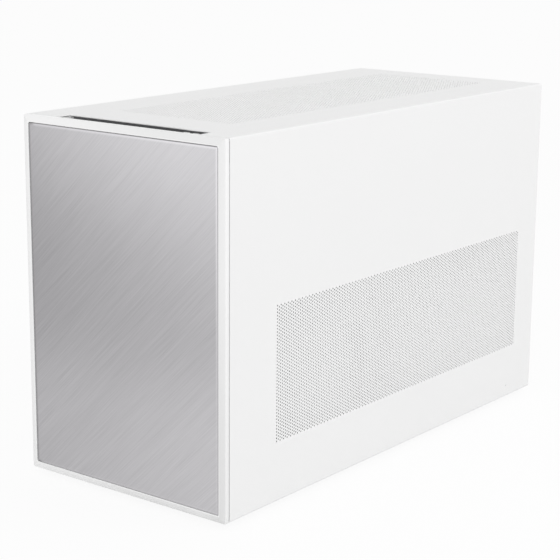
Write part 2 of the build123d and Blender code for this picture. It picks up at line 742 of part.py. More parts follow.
# rear fan on the panel, blowing out to the back
rear_fan_face = Plane(origin=(rear_fan_x, inner_rear_y, rear_fan_z), x_dir=(1, 0, 0), z_dir=(0, -1, 0))
keep(fan_frame(rear_fan_face, rear_fan_size, fan_depth, rear_fan_bore), "rear_fan_frame")
rotor_high = fan_depth - 1.0
fan_tip = fan_bore - fan_tip_gap
shaft_drop = motor_base_depth - 0.3
keep(
    fan_rotor(
        rear_fan_face.offset(motor_base_depth), 1.0, rotor_high - motor_base_depth, rear_fan_bore - fan_tip_gap,
        hub_radius, shaft_drop, blade_count, blade_pitch,
    ),
    "rear_fan_rotor",
)

# ------------------------------------------------------------------ motherboard
with BuildPart() as motherboard:
    block((board_x, board_front_y, board_z), (board_x + board_thickness, board_rear_y, board_top_z))
keep(motherboard.part, "motherboard")

standoff_rows = [board_z + hole_inset, slot_heights[0] + 2.7, board_top_z - hole_inset]
standoff_columns = [board_rear_y - 10.2, board_rear_y - 165.1, board_front_y + hole_inset]
with BuildPart() as standoffs:
    with BuildSketch(lengthwise(board_x + board_thickness)) as hexes:
        with Locations(*[(y, z) for y in standoff_columns for z in standoff_rows]):
            RegularPolygon(standoff_radius, 6)
    extrude(amount=standoff_height)
keep(standoffs.part, "standoffs")

with BuildPart() as processor_socket:
    socket_y, socket_z = cpu_y - socket_size / 2, cpu_z - socket_size / 2
    block(
        (board_x - socket_height, socket_y, socket_z),
        (board_x, socket_y + socket_size, socket_z + socket_size),
    )
    # load lever beside the socket
    block(
        (board_x - 3.0, socket_y + socket_size, socket_z - 6),
        (board_x, socket_y + socket_size + 3.0, socket_z + socket_size),
    )
keep(processor_socket.part, "processor_socket")

memory_y = [cpu_y - memory_from_cpu - n * memory_pitch for n in range(2)]
memory_z = slot_heights[0] + memory_above_card
memory_length = board_top_z - memory_below_top - memory_z
slot_x = board_x - memory_slot_height
with BuildPart() as memory_slots:
    for y in memory_y:
        block((slot_x, y - 3.2, memory_z - 4), (board_x, y + 3.2, memory_z + memory_length + 4))
        # latches at both ends, standing above the slot
        block((slot_x - 8, y - 2.6, memory_z + memory_length + 0.3), (slot_x, y + 2.6, memory_z + memory_length + 4))
        block((slot_x - 8, y - 2.6, memory_z - 4), (slot_x, y + 2.6, memory_z - 0.3))
keep(memory_slots.part, "memory_slots")

with BuildPart() as memory_modules:
    for y in memory_y:
        block(
            (slot_x - memory_height, y - memory_thickness / 2, memory_z + 1),
            (slot_x - 3, y + memory_thickness / 2, memory_z + memory_length - 1),
        )
        # contact edge down to the slot
        block((slot_x - 3, y - 0.7, memory_z + 1), (slot_x, y + 0.7, memory_z + memory_length - 1))
    chamfer(memory_modules.faces().group_by(Axis.X)[0].edges().filter_by(Axis.Z), 1.2)
keep(memory_modules.part, "memory_modules")

slot_body = 11.0            # height of a card slot above the board
card_slot_rear_y = board_rear_y - 46.0
with BuildPart() as card_slots:
    for height, length in zip(slot_heights, (89.0, 25.0, 25.0, 89.0)):
        block(
            (board_x - slot_body, card_slot_rear_y - length, height - 3.8),
            (board_x, card_slot_rear_y, height + 3.8),
        )
keep(card_slots.part, "card_slots")

main_plug_z = cpu_z - 21.0
with BuildPart() as board_parts:
    # main power header and drive ports on the front edge
    block((board_x - 11, board_front_y + 1, main_plug_z - 26), (board_x, board_front_y + 10.5, main_plug_z + 26))
    block((board_x - 11, board_front_y, board_z + 50), (board_x, board_front_y + 14, board_z + 84))
    # chokes over the socket and the round cell under it
    for step in range(6):
        choke_z = cpu_z - 40 + step * 13
        block((board_x - 8, cpu_y + 38, choke_z), (board_x, cpu_y + 47, choke_z + 9))
    block((board_x - 3.2, cpu_y - 8, cpu_z - 69), (board_x, cpu_y + 8, cpu_z - 53))
keep(board_parts.part, "board_parts")

fin_rise = 5.0


def finned_sink(low, high, base, pitch):
    """A heat sink that stands on the board towards -X, with fins along Z."""
    count = floor((high[1] - low[1] - 1.5) / pitch) + 1
    start = (low[1] + high[1]) / 2 - (count - 1) * pitch / 2
    with BuildPart() as sink:
        block((high[0] - base, low[1], low[2]), high)
        for n in range(count):
            y = start + n * pitch
            block((low[0], y - 0.75, low[2]), (high[0] - base, y + 0.75, high[2]))
    return sink.part


power_sink = finned_sink((board_x - 24, cpu_y + 50, cpu_z - 42), (board_x, cpu_y + 66, cpu_z + 42), 6, 4.6)
chipset_sink = finned_sink(
    (board_x - 9, board_front_y + 20, board_z + 10), (board_x, board_front_y + 60, board_z + 48), 3, 6.0
)
with BuildPart() as board_sinks:
    add(power_sink)
    add(chipset_sink)
keep(board_sinks.part, "board_sinks")

port_reach = 22.0
port_lip = 1.2              # the shield closes in on each port block by this much
# middle and height as shares of the opening, and reach out from the board
port_blocks = [
    (0.113, 0.214, 30.0), (0.265, 0.107, 14.0), (0.394, 0.101, 28.0),
    (0.517, 0.113, 28.0), (0.652, 0.107, 32.0), (0.806, 0.164, 34.0),
]
with BuildPart() as rear_ports:
    for middle, tall, rise in port_blocks:
        low_z, high_z = io_low_z + (middle - tall / 2) * io_height, io_low_z + (middle + tall / 2) * io_height
        block((board_x - rise, inner_rear_y - port_reach, low_z), (board_x, inner_rear_y - 0.4, high_z))
keep(rear_ports.part, "rear_ports")

with BuildPart() as io_shield:
    shield_face = inner_rear_y
    with BuildSketch(across(rear_y - 0.2)) as shield:
        window_mid = (io_right_x - io_width / 2, (io_low_z + io_high_z) / 2)
        with Locations(window_mid):
            Rectangle(io_width - 0.6, io_height - 0.6)
        for middle, tall, rise in port_blocks:
            low_z, high_z = io_low_z + (middle - tall / 2) * io_height, io_low_z + (middle + tall / 2) * io_height
            window(board_x - rise + port_lip, board_x - port_lip, low_z + port_lip, high_z - port_lip)
    extrude(amount=0.6)
keep(io_shield.part, "io_shield")

# ------------------------------------------------------------------ processor cooler
fins_low_x = board_x - cooler_height
fins_high_x = fins_low_x + fin_stack
base_x = board_x - socket_height
fin_pitch = (fin_stack - fin_thickness) / (fin_count - 1)
with BuildPart() as cooler_sink:
    block((base_x - 9, cpu_y - 19, cpu_z - 20), (base_x, cpu_y + 19, cpu_z + 20))
    # fins with folded ends, which close the stack at both sides
    with BuildSketch(across(cpu_y + cooler_depth / 2)) as stack:
        with Locations(((fins_low_x + fins_high_x) / 2, cpu_z)):
            Rectangle(fin_stack, cooler_width)
        for n in range(fin_count - 1):
            low_x = fins_low_x + n * fin_pitch + fin_thickness
            window(
                low_x,
                low_x + fin_pitch - fin_thickness,
                cpu_z - cooler_width / 2 + fin_thickness,
                cpu_z + cooler_width / 2 - fin_thickness,
            )
    extrude(amount=cooler_depth)
    # heat pipes from the base up to the fins
    with BuildSketch(lengthwise(fins_high_x - fin_thickness / 2)) as pipes:
        with Locations(*[(cpu_y + across_y, cpu_z + up) for across_y in (-9, 9) for up in (-12, 12)]):
            RegularPolygon(pipe_radius, 8)
    extrude(amount=base_x - 9 - fins_high_x + fin_thickness)
keep(cooler_sink.part, "cooler_sink")

cooler_fan_x = (fins_low_x + fins_high_x) / 2
cooler_fan_face = Plane(
    origin=(cooler_fan_x, cpu_y - cooler_depth / 2, cpu_z), x_dir=(1, 0, 0), z_dir=(0, -1, 0)
)
keep(fan_frame(cooler_fan_face, fan_size, fan_depth, fan_bore), "cooler_fan_frame")
keep(
    fan_rotor(
        cooler_fan_face.offset(motor_base_depth), 1.0, rotor_high - motor_base_depth, fan_tip, hub_radius, shaft_drop,
        blade_count, blade_pitch,
    ),
    "cooler_fan_rotor",
)

# ------------------------------------------------------------------ graphics card
card_z = slot_heights[0]
card_right_x = board_x - slot_body
card_left_x = card_right_x - card_width
card_rear_y = inner_rear_y - 2.0
card_front_y = supply_rear_y + card_front_gap
card_low_z = card_z - card_thickness + 3.5
card_fan_y = [card_rear_y - 56.0, card_front_y + 60.0]
card_fan_x = (card_left_x + card_right_x) / 2 - 4.0
card_fan_face_z = card_z - 13.0

with BuildPart() as graphics_board:
    block((card_left_x, card_front_y, card_z - card_board / 2), (card_right_x, card_rear_y, card_z + card_board / 2))
keep(graphics_board.part, "graphics_board")

with BuildPart() as graphics_backplate:
    block(
        (card_left_x, card_front_y, card_z + card_board / 2), (card_right_x - 8, card_rear_y - 1, card_z + 2.0)
    )
    chamfer(graphics_backplate.faces().sort_by(Axis.Y)[0].edges().filter_by(Axis.Z), 6)
keep(graphics_backplate.part, "graphics_backplate")

sink_low_z = card_fan_face_z
sink_x = (card_left_x + card_right_x) / 2 - 4
with BuildPart() as graphics_sink:
    with BuildSketch(across(card_rear_y - 16)) as comb:
        comb_high = card_z - card_board / 2
        with Locations((sink_x, comb_high - 1.5)):
            Rectangle(card_width - 14, 3)
        with Locations((sink_x, (comb_high + sink_low_z) / 2)):
            with GridLocations(10, 1, 8, 1):
                Rectangle(1.6, comb_high - sink_low_z)
    extrude(amount=card_rear_y - card_front_y - 26)
    # motor plates under the fans, with their bearing bores
    with BuildSketch(level(sink_low_z)) as motor_plates:
        with Locations(*[(card_fan_x, y) for y in card_fan_y]):
            Rectangle(26, 26)
            Circle(shaft_radius + shaft_clear, mode=Mode.SUBTRACT)
    extrude(amount=2.4)
keep(graphics_sink.part, "graphics_sink")

with BuildPart() as graphics_shroud:
    shroud_right_x = card_right_x - 3
    block((card_left_x, card_front_y, card_low_z), (shroud_right_x, card_rear_y - 2, card_z - card_board / 2 - 0.3))
    chamfer(graphics_shroud.faces().sort_by(Axis.Z)[0].edges(), 3)
    block(
        (card_left_x + shroud_wall, card_front_y + shroud_wall, card_low_z + shroud_wall),
        (shroud_right_x - shroud_wall, card_rear_y - 2, card_z),
        Mode.SUBTRACT,
    )
    with BuildSketch(level(card_low_z)) as shroud_bores:
        with Locations(*[(card_fan_x, y) for y in card_fan_y]):
            Circle(card_fan_radius + 1.4)
    extrude(amount=2 * shroud_wall, mode=Mode.SUBTRACT)
keep(graphics_shroud.part, "graphics_shroud")

card_fan_depth = sink_low_z - card_low_z
for name, y in zip(("graphics_rotor_rear", "graphics_rotor_front"), card_fan_y):
    face = Plane(origin=(card_fan_x, y, sink_low_z), x_dir=(1, 0, 0), z_dir=(0, 0, -1))
    rotor = fan_rotor(face, 1.0, card_fan_depth - 0.6, card_fan_radius, card_hub_radius, 2.1, card_blades, 30)
    keep(rotor, name)

cover_left_x = slot_left_x - slot_cover_tab
output_x = slot_left_x + 24.1
output_pitch = 24.0
with BuildPart() as graphics_bracket:
    bracket_low_z = slot_heights[1] - slot_cover_half
    bracket_high_z = slot_heights[0] + slot_cover_half
    block(
        (cover_left_x, inner_rear_y - sheet, bracket_low_z), (slot_right_x + 2, inner_rear_y, bracket_high_z)
    )
    # outputs and vents
    with BuildSketch(across(inner_rear_y)) as outputs:
        for place in range(3):
            x = output_x + place * output_pitch
            window_z = card_z - 7
            with Locations((x, window_z)):
                Rectangle(16, 6.4)
        with Locations((output_x + output_pitch, slot_heights[1] + 1)):
            with GridLocations(16, 1, 5, 1):
                Rectangle(8, 10)
    extrude(amount=sheet, mode=Mode.SUBTRACT)
    block(
        (cover_left_x, inner_rear_y - slot_cover_fold, bracket_low_z),
        (cover_left_x + sheet, inner_rear_y, bracket_high_z),
    )
keep(graphics_bracket.part, "graphics_bracket")

with BuildPart() as graphics_outputs:
    for place in range(3):
        x = output_x + place * output_pitch
        block((x - 8.6, inner_rear_y - sheet - 10, card_z - 11), (x + 8.6, inner_rear_y - sheet, card_z - 3))
keep(graphics_outputs.part, "graphics_outputs")

with BuildPart() as slot_covers:
    for height in slot_heights[2:]:
        low_z, high_z = height - slot_cover_half, height + slot_cover_half
        block((cover_left_x, inner_rear_y - sheet, low_z), (slot_right_x + 2, inner_rear_y, high_z))
        block((cover_left_x, inner_rear_y - slot_cover_fold, low_z), (cover_left_x + sheet, inner_rear_y, high_z))
keep(slot_covers.part, "slot_covers")

# ------------------------------------------------------------------ power supply
supply_left_x = -(chassis_half - supply_side_gap)
supply_right_x = supply_left_x + supply_width
supply_low_z = floor_z + supply_lift
supply_high_z = supply_low_z + supply_height
supply_mid_y = (supply_front_y + supply_rear_y) / 2
supply_mid_z = (supply_low_z + supply_high_z) / 2
socket_x = supply_left_x + supply_inlet_inset
socket_z = supply_mid_z
rocker_z = socket_z + rocker_above_inlet
ribbon_x = supply_right_x - cable_inset
supply_fan_depth = 18.0
supply_bore = 56.0
supply_tip = 54.0
fan_floor_x = supply_left_x + supply_wall + supply_fan_depth + 4.0
cable_exit_z = main_plug_z

with BuildPart() as supply_case:
    block((supply_left_x, supply_front_y, supply_low_z), (supply_right_x, supply_rear_y, supply_high_z))
    block(
        (supply_left_x + supply_wall, supply_front_y + supply_wall, supply_low_z + supply_wall),
        (supply_right_x - supply_wall, supply_rear_y - supply_wall, supply_high_z - supply_wall),
        Mode.SUBTRACT,
    )
    with BuildSketch(lengthwise(supply_left_x)) as fan_opening:
        with Locations((supply_mid_y, supply_mid_z)):
            Circle(supply_bore)
    extrude(amount=2 * supply_wall, mode=Mode.SUBTRACT)
    # openings for the inlet, the switch and the cables
    block(
        (socket_x - 14.5, supply_front_y, socket_z - 11.1),
        (socket_x + 14.5, supply_front_y + 2, socket_z + 11.1),
        Mode.SUBTRACT,
    )
    block(
        (socket_x - 9.7, supply_front_y, rocker_z - 6.7),
        (socket_x + 9.7, supply_front_y + 2, rocker_z + 6.7),
        Mode.SUBTRACT,
    )
    block(
        (ribbon_x - 8, supply_rear_y - 2, cable_exit_z - 24),
        (ribbon_x + 8, supply_rear_y, cable_exit_z + 24),
        Mode.SUBTRACT,
    )
keep(supply_case.part, "supply_case")

with BuildPart() as supply_board:
    # the inner board and its parts, closed to a block behind the fan
    block(
        (fan_floor_x, supply_front_y + 26, supply_low_z + 4),
        (supply_right_x - supply_wall, supply_rear_y - 8, supply_high_z - 4),
    )
    # motor arm with the bearing bore
    with BuildSketch(lengthwise(fan_floor_x - 3.5)) as arm:
        with Locations((supply_mid_y, supply_mid_z)):
            Rectangle(2 * stator_radius, 2 * stator_radius)
    extrude(amount=3.5)
    with BuildSketch(lengthwise(fan_floor_x - 3.5)) as arm_bore:
        with Locations((supply_mid_y, supply_mid_z)):
            Circle(shaft_radius + shaft_clear)
    extrude(amount=6.0, mode=Mode.SUBTRACT)
keep(supply_board.part, "supply_board")

supply_fan_face = Plane(
    origin=(fan_floor_x - 3.5, supply_mid_y, supply_mid_z), x_dir=(0, 1, 0), z_dir=(-1, 0, 0)
)
keep(
    fan_rotor(supply_fan_face, 1.4, supply_fan_depth - 1.5, supply_tip, hub_radius, 4.5, blade_count, 30),
    "supply_rotor",
)

with BuildPart() as supply_fan_guard:
    with BuildSketch(lengthwise(supply_left_x - 1.2)) as guard:
        with Locations((supply_mid_y, supply_mid_z)):
            Rectangle(fan_size + 4, fan_size + 4)
            chamfer(guard.vertices(), 14)
        for height, length in bars_in_circle(supply_bore, 11.0, 8.6):
            with Locations((supply_mid_y, supply_mid_z + height)):
                Rectangle(length, 8.6, mode=Mode.SUBTRACT)
    extrude(amount=1.2)
keep(supply_fan_guard.part, "supply_fan_guard")


def mains_socket(face, name):
    """A mains inlet on a plane at its flange: shell, flange and three pins, with its mouth along the normal."""
    with BuildPart() as socket:
        with BuildSketch(face) as body:
            Rectangle(28.8, 21.8)
        extrude(amount=-24.0)
        with BuildSketch(face) as rim:
            Rectangle(34, 27)
        extrude(amount=2.0)
        with BuildSketch(face.offset(2.0)) as cavity:
            Rectangle(inlet_wide, inlet_narrow)
            chamfer(cavity.vertices().group_by(Axis.X if abs(face.x_dir.X) > 0.5 else Axis.Z)[0], 3.5)
            with Locations((-blade_pin_spread, -1.5), (0, 1.8), (blade_pin_spread, -1.5)):
                Rectangle(blade_pin_width, blade_pin_height, mode=Mode.SUBTRACT)
        extrude(amount=-inlet_depth, mode=Mode.SUBTRACT)
        # the pins stand back from the mouth
        with BuildSketch(face.offset(2.0)) as mouth:
            Rectangle(inlet_wide - 7.2, inlet_narrow - 0.4)
        extrude(amount=-5.0, mode=Mode.SUBTRACT)
    keep(socket.part, name)


rear_inlet_face = Plane(origin=(inlet_x, rear_y, inlet_z), x_dir=(0, 0, 1), z_dir=(0, 1, 0))
mains_socket(rear_inlet_face, "rear_inlet")
supply_inlet_face = Plane(origin=(socket_x, supply_front_y, socket_z), x_dir=(-1, 0, 0), z_dir=(0, -1, 0))
mains_socket(supply_inlet_face, "supply_inlet")

rocker_axis_y = supply_front_y + 2.5
with BuildPart() as supply_rocker_frame:
    block((socket_x - 9.5, supply_front_y, rocker_z - 6.5), (socket_x + 9.5, supply_front_y + 12, rocker_z + 6.5))
    block((socket_x - 11, supply_front_y - 1.2, rocker_z - 8), (socket_x + 11, supply_front_y, rocker_z + 8))
    block(
        (socket_x - 8, supply_front_y - 2, rocker_z - 5), (socket_x + 8, supply_front_y + 8, rocker_z + 5), Mode.SUBTRACT
    )
keep(supply_rocker_frame.part, "supply_rocker_frame")

rocker_half = 7.2
rocker_width = 9.2
axle_radius = 1.2
rocker_tilt = 9.0           # degrees
# the rocker rests pressed down at one end
rocker_face = Plane(
    origin=(socket_x, rocker_axis_y, rocker_z - rocker_width / 2),
    x_dir=(cos(radians(rocker_tilt)), sin(radians(rocker_tilt)), 0),
    z_dir=(0, 0, 1),
)
with BuildPart() as supply_rocker:
    with BuildSketch(rocker_face) as rocker_side:
        with BuildLine():
            Polyline(
                (-rocker_half, -3.2), (0, -1.8), (rocker_half, -3.2), (4.5, 1.2), (0, 3.0), (-4.5, 1.2), close=True
            )
        make_face()
    extrude(amount=rocker_width)
    with BuildSketch(level(rocker_z - rocker_width / 2 - 0.3)) as axle:
        with Locations((socket_x, rocker_axis_y)):
            Circle(axle_radius)
    extrude(amount=rocker_width + 0.6)
keep(supply_rocker.part, "supply_rocker")

with BuildPart() as supply_bracket:
    # plate on the supply's face, folded forward to the front wall
    plate_y = supply_front_y - 1.2
    block((supply_left_x, plate_y, supply_high_z - 22), (supply_right_x, supply_front_y, supply_high_z))
    block((supply_right_x, inner_front_y, supply_low_z), (supply_right_x + 1.2, supply_front_y + 30, supply_high_z))
    block((supply_right_x - 12, inner_front_y, supply_low_z), (supply_right_x, inner_front_y + 1.2, supply_high_z))
    # shelf under the supply with two legs on the floor
    block((supply_left_x, supply_front_y + 2, supply_low_z - 1.2), (supply_right_x + 1.2, supply_rear_y, supply_low_z))
    block((supply_right_x, supply_front_y + 2, floor_z), (supply_right_x + 1.2, supply_rear_y, supply_low_z - 1))
    block((supply_left_x, supply_rear_y - 20, floor_z), (supply_left_x + 1.2, supply_rear_y, supply_low_z - 1))
keep(supply_bracket.part, "supply_bracket")

# ------------------------------------------------------------------ drives
disk_x = tray_x - 1.2 - disk_thickness
disk_y = inner_front_y + 26.0
disk_z = floor_z + 12.0
with BuildPart() as disk_drive:
    block((disk_x, disk_y, disk_z), (disk_x + disk_thickness, disk_y + disk_width, disk_z + disk_length))
    chamfer(disk_drive.edges().filter_by(Axis.X), 3)
    block((disk_x - 1, disk_y + 12, disk_z + 10), (disk_x + 1.2, disk_y + disk_width - 12, disk_z + 70), Mode.SUBTRACT)
keep(disk_drive.part, "disk_drive")

with BuildPart() as disk_bracket:
    block(
        (tray_x - 1.2, disk_y - 1.2, disk_z - 6), (tray_x, disk_y + disk_width + 1.2, disk_z + disk_length + 6)
    )
    for y in (disk_y - 1.2, disk_y + disk_width):
        block((disk_x + 4, y, disk_z + 10), (tray_x, y + 1.2, disk_z + disk_length - 10))
keep(disk_bracket.part, "disk_bracket")

ssd_z = disk_z + disk_length + 12
with BuildPart() as solid_state_drive:
    block((tray_x - ssd_thickness, disk_y, ssd_z), (tray_x, disk_y + ssd_length, ssd_z + ssd_width))
    chamfer(solid_state_drive.faces().sort_by(Axis.X)[0].edges(), 0.8)
keep(solid_state_drive.part, "solid_state_drive")

# ------------------------------------------------------------------ cables inside
plug_body_y = supply_front_y - 2.0
plug_front_y = inner_front_y + 2.5
with BuildPart() as lead_plug:
    # angled plug: its nose reaches into the inlet's mouth, and the lead leaves it downwards
    block((socket_x - 14, plug_front_y, socket_z - 10), (socket_x + 14, plug_body_y, socket_z + 10))
    chamfer(lead_plug.faces().sort_by(Axis.Y)[0].edges(), 2.5)
    block((socket_x - 8, plug_body_y, socket_z - 7.6), (socket_x + 8, plug_body_y + 4.6, socket_z + 7.6))
    with BuildSketch(level(socket_z - 10)) as relief:
        with Locations((socket_x, (plug_front_y + plug_body_y) / 2)):
            RegularPolygon(cord_radius + 2.4, 8)
    extrude(amount=-14)
keep(lead_plug.part, "lead_plug")

lead_floor_z = floor_z + cord_radius + 0.2
lead_front_y = (plug_front_y + plug_body_y) / 2
lead_top_z = socket_z - 24.0
inlet_end_y = rear_y - 24.0
lead_points = [
    (socket_x, lead_front_y, lead_top_z),
    (socket_x, lead_front_y, lead_floor_z),
    (inlet_x, inlet_end_y - 165.0, lead_floor_z),
    (inlet_x, inlet_end_y - 65.0, inlet_z),
    (inlet_x, inlet_end_y, inlet_z),
]


def corner_radius(before, corner, after):
    """The largest arc that two runs allow at a corner, as 0.45 of the shorter run over the tangent of half the turn."""
    incoming, outgoing = Vector(*corner) - Vector(*before), Vector(*after) - Vector(*corner)
    half_turn = radians(incoming.get_angle(outgoing)) / 2
    return 0.45 * min(incoming.length, outgoing.length) * cos(half_turn) / sin(half_turn)


lead_radii = [corner_radius(*lead_points[n : n + 3]) for n in range(len(lead_points) - 2)]
print("lead radii", [round(radius, 1) for radius in lead_radii])
with BuildPart() as mains_lead:
    with BuildLine() as lead_path:
        FilletPolyline(*lead_points, radius=lead_radii)
    with BuildSketch(Plane(origin=lead_points[0], z_dir=(0, 0, -1))) as lead_section:
        RegularPolygon(cord_radius, 6)
    sweep()
keep(mains_lead.part, "mains_lead")

header_y = board_front_y + 5.75
plug_length = 14.0
with BuildPart() as main_plug:
    block(
        (board_x - 11 - plug_length, header_y - 5, main_plug_z - 25.6),
        (board_x - 11, header_y + 5, main_plug_z + 25.6),
    )
    block(
        (board_x - 11 - plug_length, header_y - 8, main_plug_z - 3), (board_x - 6, header_y - 5, main_plug_z + 3)
    )
keep(main_plug.part, "main_plug")

with BuildPart() as main_cable:
    with BuildSketch(level(main_plug_z - 23)) as ribbon:
        with BuildLine():
            FilletPolyline(
                (ribbon_x, supply_rear_y), (ribbon_x, header_y), (board_x - 11 - plug_length, header_y), radius=10
            )
        trace(line_width=3.6)
    extrude(amount=46)
keep(main_cable.part, "main_cable")
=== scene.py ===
"""Looks of the desktop computer tower: finishes, punched sheets, fasteners, studio and camera."""
import json
import logging
import math
from contextlib import contextmanager
from dataclasses import dataclass
from enum import Enum
from typing import Callable, Iterable, Iterator, Optional, Sequence, Union

import bmesh
import bpy
from mathutils import Matrix, Vector


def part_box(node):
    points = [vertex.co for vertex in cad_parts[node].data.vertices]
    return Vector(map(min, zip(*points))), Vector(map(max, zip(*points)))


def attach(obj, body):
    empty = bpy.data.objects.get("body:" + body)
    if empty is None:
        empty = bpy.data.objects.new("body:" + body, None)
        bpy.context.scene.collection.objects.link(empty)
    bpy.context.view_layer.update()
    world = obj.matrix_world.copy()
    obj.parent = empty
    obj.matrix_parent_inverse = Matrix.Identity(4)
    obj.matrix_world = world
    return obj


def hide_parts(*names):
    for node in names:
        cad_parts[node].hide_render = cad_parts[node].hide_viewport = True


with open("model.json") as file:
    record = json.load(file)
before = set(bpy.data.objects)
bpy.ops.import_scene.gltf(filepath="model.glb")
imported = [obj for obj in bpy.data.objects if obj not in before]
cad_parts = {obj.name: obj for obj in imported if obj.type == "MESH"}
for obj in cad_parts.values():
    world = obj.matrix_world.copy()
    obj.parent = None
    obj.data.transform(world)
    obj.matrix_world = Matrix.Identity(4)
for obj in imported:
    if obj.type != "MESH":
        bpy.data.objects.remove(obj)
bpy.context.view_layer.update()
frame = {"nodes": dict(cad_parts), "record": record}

log = logging.getLogger("tower")
MM = 0.001
MERGE = 2e-6  # corners nearer than this are one
CLOSE = 1e-5  # lengths nearer than this count as equal


class Bodies(Enum):
    """The bodies that this script's own pieces ride on."""

    CHASSIS = "chassis"
    COVER = "cover"
    BEZEL = "bezel"
    FILTER = "dust_filter"
    BUTTON = "button"


# ---------------------------------------------------------------- node trees


def operator(operation: str, reflected: bool = False) -> Callable[["Cell", "Term"], "Cell"]:
    """Makes an operator that adds one Math node.

    Args:
        operation: the node's operation, such as "ADD".
        reflected: True where the cell stands on the right.

    Returns:
        The method.
    """

    def method(cell: "Cell", other: "Term") -> "Cell":
        """Joins the cell and the other term."""
        return cell.maths(operation, other, cell) if reflected else cell.maths(operation, cell, other)

    return method


class Cell:
    """One output socket of a node tree. Arithmetic on it adds the Math nodes it needs."""

    __add__, __radd__ = operator("ADD"), operator("ADD", True)
    __sub__, __rsub__ = operator("SUBTRACT"), operator("SUBTRACT", True)
    __mul__, __rmul__ = operator("MULTIPLY"), operator("MULTIPLY", True)
    __truediv__ = operator("DIVIDE")

    def __init__(self, tree: "Tree", socket: bpy.types.NodeSocket) -> None:
        """Keeps the tree and the socket."""
        self.tree = tree
        self.socket = socket

    def maths(self, operation: str, *terms: "Term") -> "Cell":
        """Adds one Math node.

        Args:
            operation: the node's operation, such as "ADD".
            terms: its inputs, in order.

        Returns:
            The node's result.
        """
        return self.tree.node("ShaderNodeMath", {"operation": operation}, terms)

    def above(self, level: "Term") -> "Cell":
        """1 where this is greater than the level, or else 0."""
        return self.maths("GREATER_THAN", self, level)

    def below(self, level: "Term") -> "Cell":
        """1 where this is less than the level, or else 0."""
        return self.maths("LESS_THAN", self, level)

    def size(self) -> "Cell":
        """Absolute value."""
        return self.maths("ABSOLUTE", self)

    def clamped(self) -> "Cell":
        """This, held between 0 and 1."""
        return self.tree.node("ShaderNodeClamp", {}, [self])


Term = Union[float, int, bool, Sequence[float], Cell, bpy.types.ID]


class Tree:
    """A node tree under construction."""

    def __init__(self, tree: bpy.types.NodeTree) -> None:
        """Keeps the tree."""
        self.tree = tree

    def feed(self, socket: bpy.types.NodeSocket, value: Term) -> None:
        """Links a socket or sets its value.

        Args:
            socket: the input.
            value: another node's output, or a plain value.
        """
        if isinstance(value, Cell):
            self.tree.links.new(value.socket, socket)
        else:
            socket.default_value = value

    def node(
        self,
        kind: str,
        settings: Optional[dict] = None,
        inputs: Union[dict, Sequence, None] = None,
        output: Union[int, str] = 0,
    ) -> Cell:
        """Adds any node.

        Args:
            kind: the node's type.
            settings: its settings, made first.
            inputs: values or links, by position or by socket name.
            output: which output to hand back.

        Returns:
            That output.
        """
        made = self.tree.nodes.new(kind)
        for name, value in (settings or {}).items():
            setattr(made, name, value)
        pairs = inputs.items() if isinstance(inputs, dict) else enumerate(inputs or ())
        for name, value in pairs:
            self.feed(made.inputs[name], value)
        return Cell(self, made.outputs[output])

    def direct(self) -> Cell:
        """Finds the rays that bring a surface straight, mirrored or through glass to the eye.

        Returns:
            1 for those rays, or else 0.
        """
        path = self.node("ShaderNodeLightPath", {}, {}, "Is Camera Ray")
        outputs = path.socket.node.outputs
        return (path + Cell(self, outputs["Is Glossy Ray"]) + Cell(self, outputs["Is Transmission Ray"])).clamped()


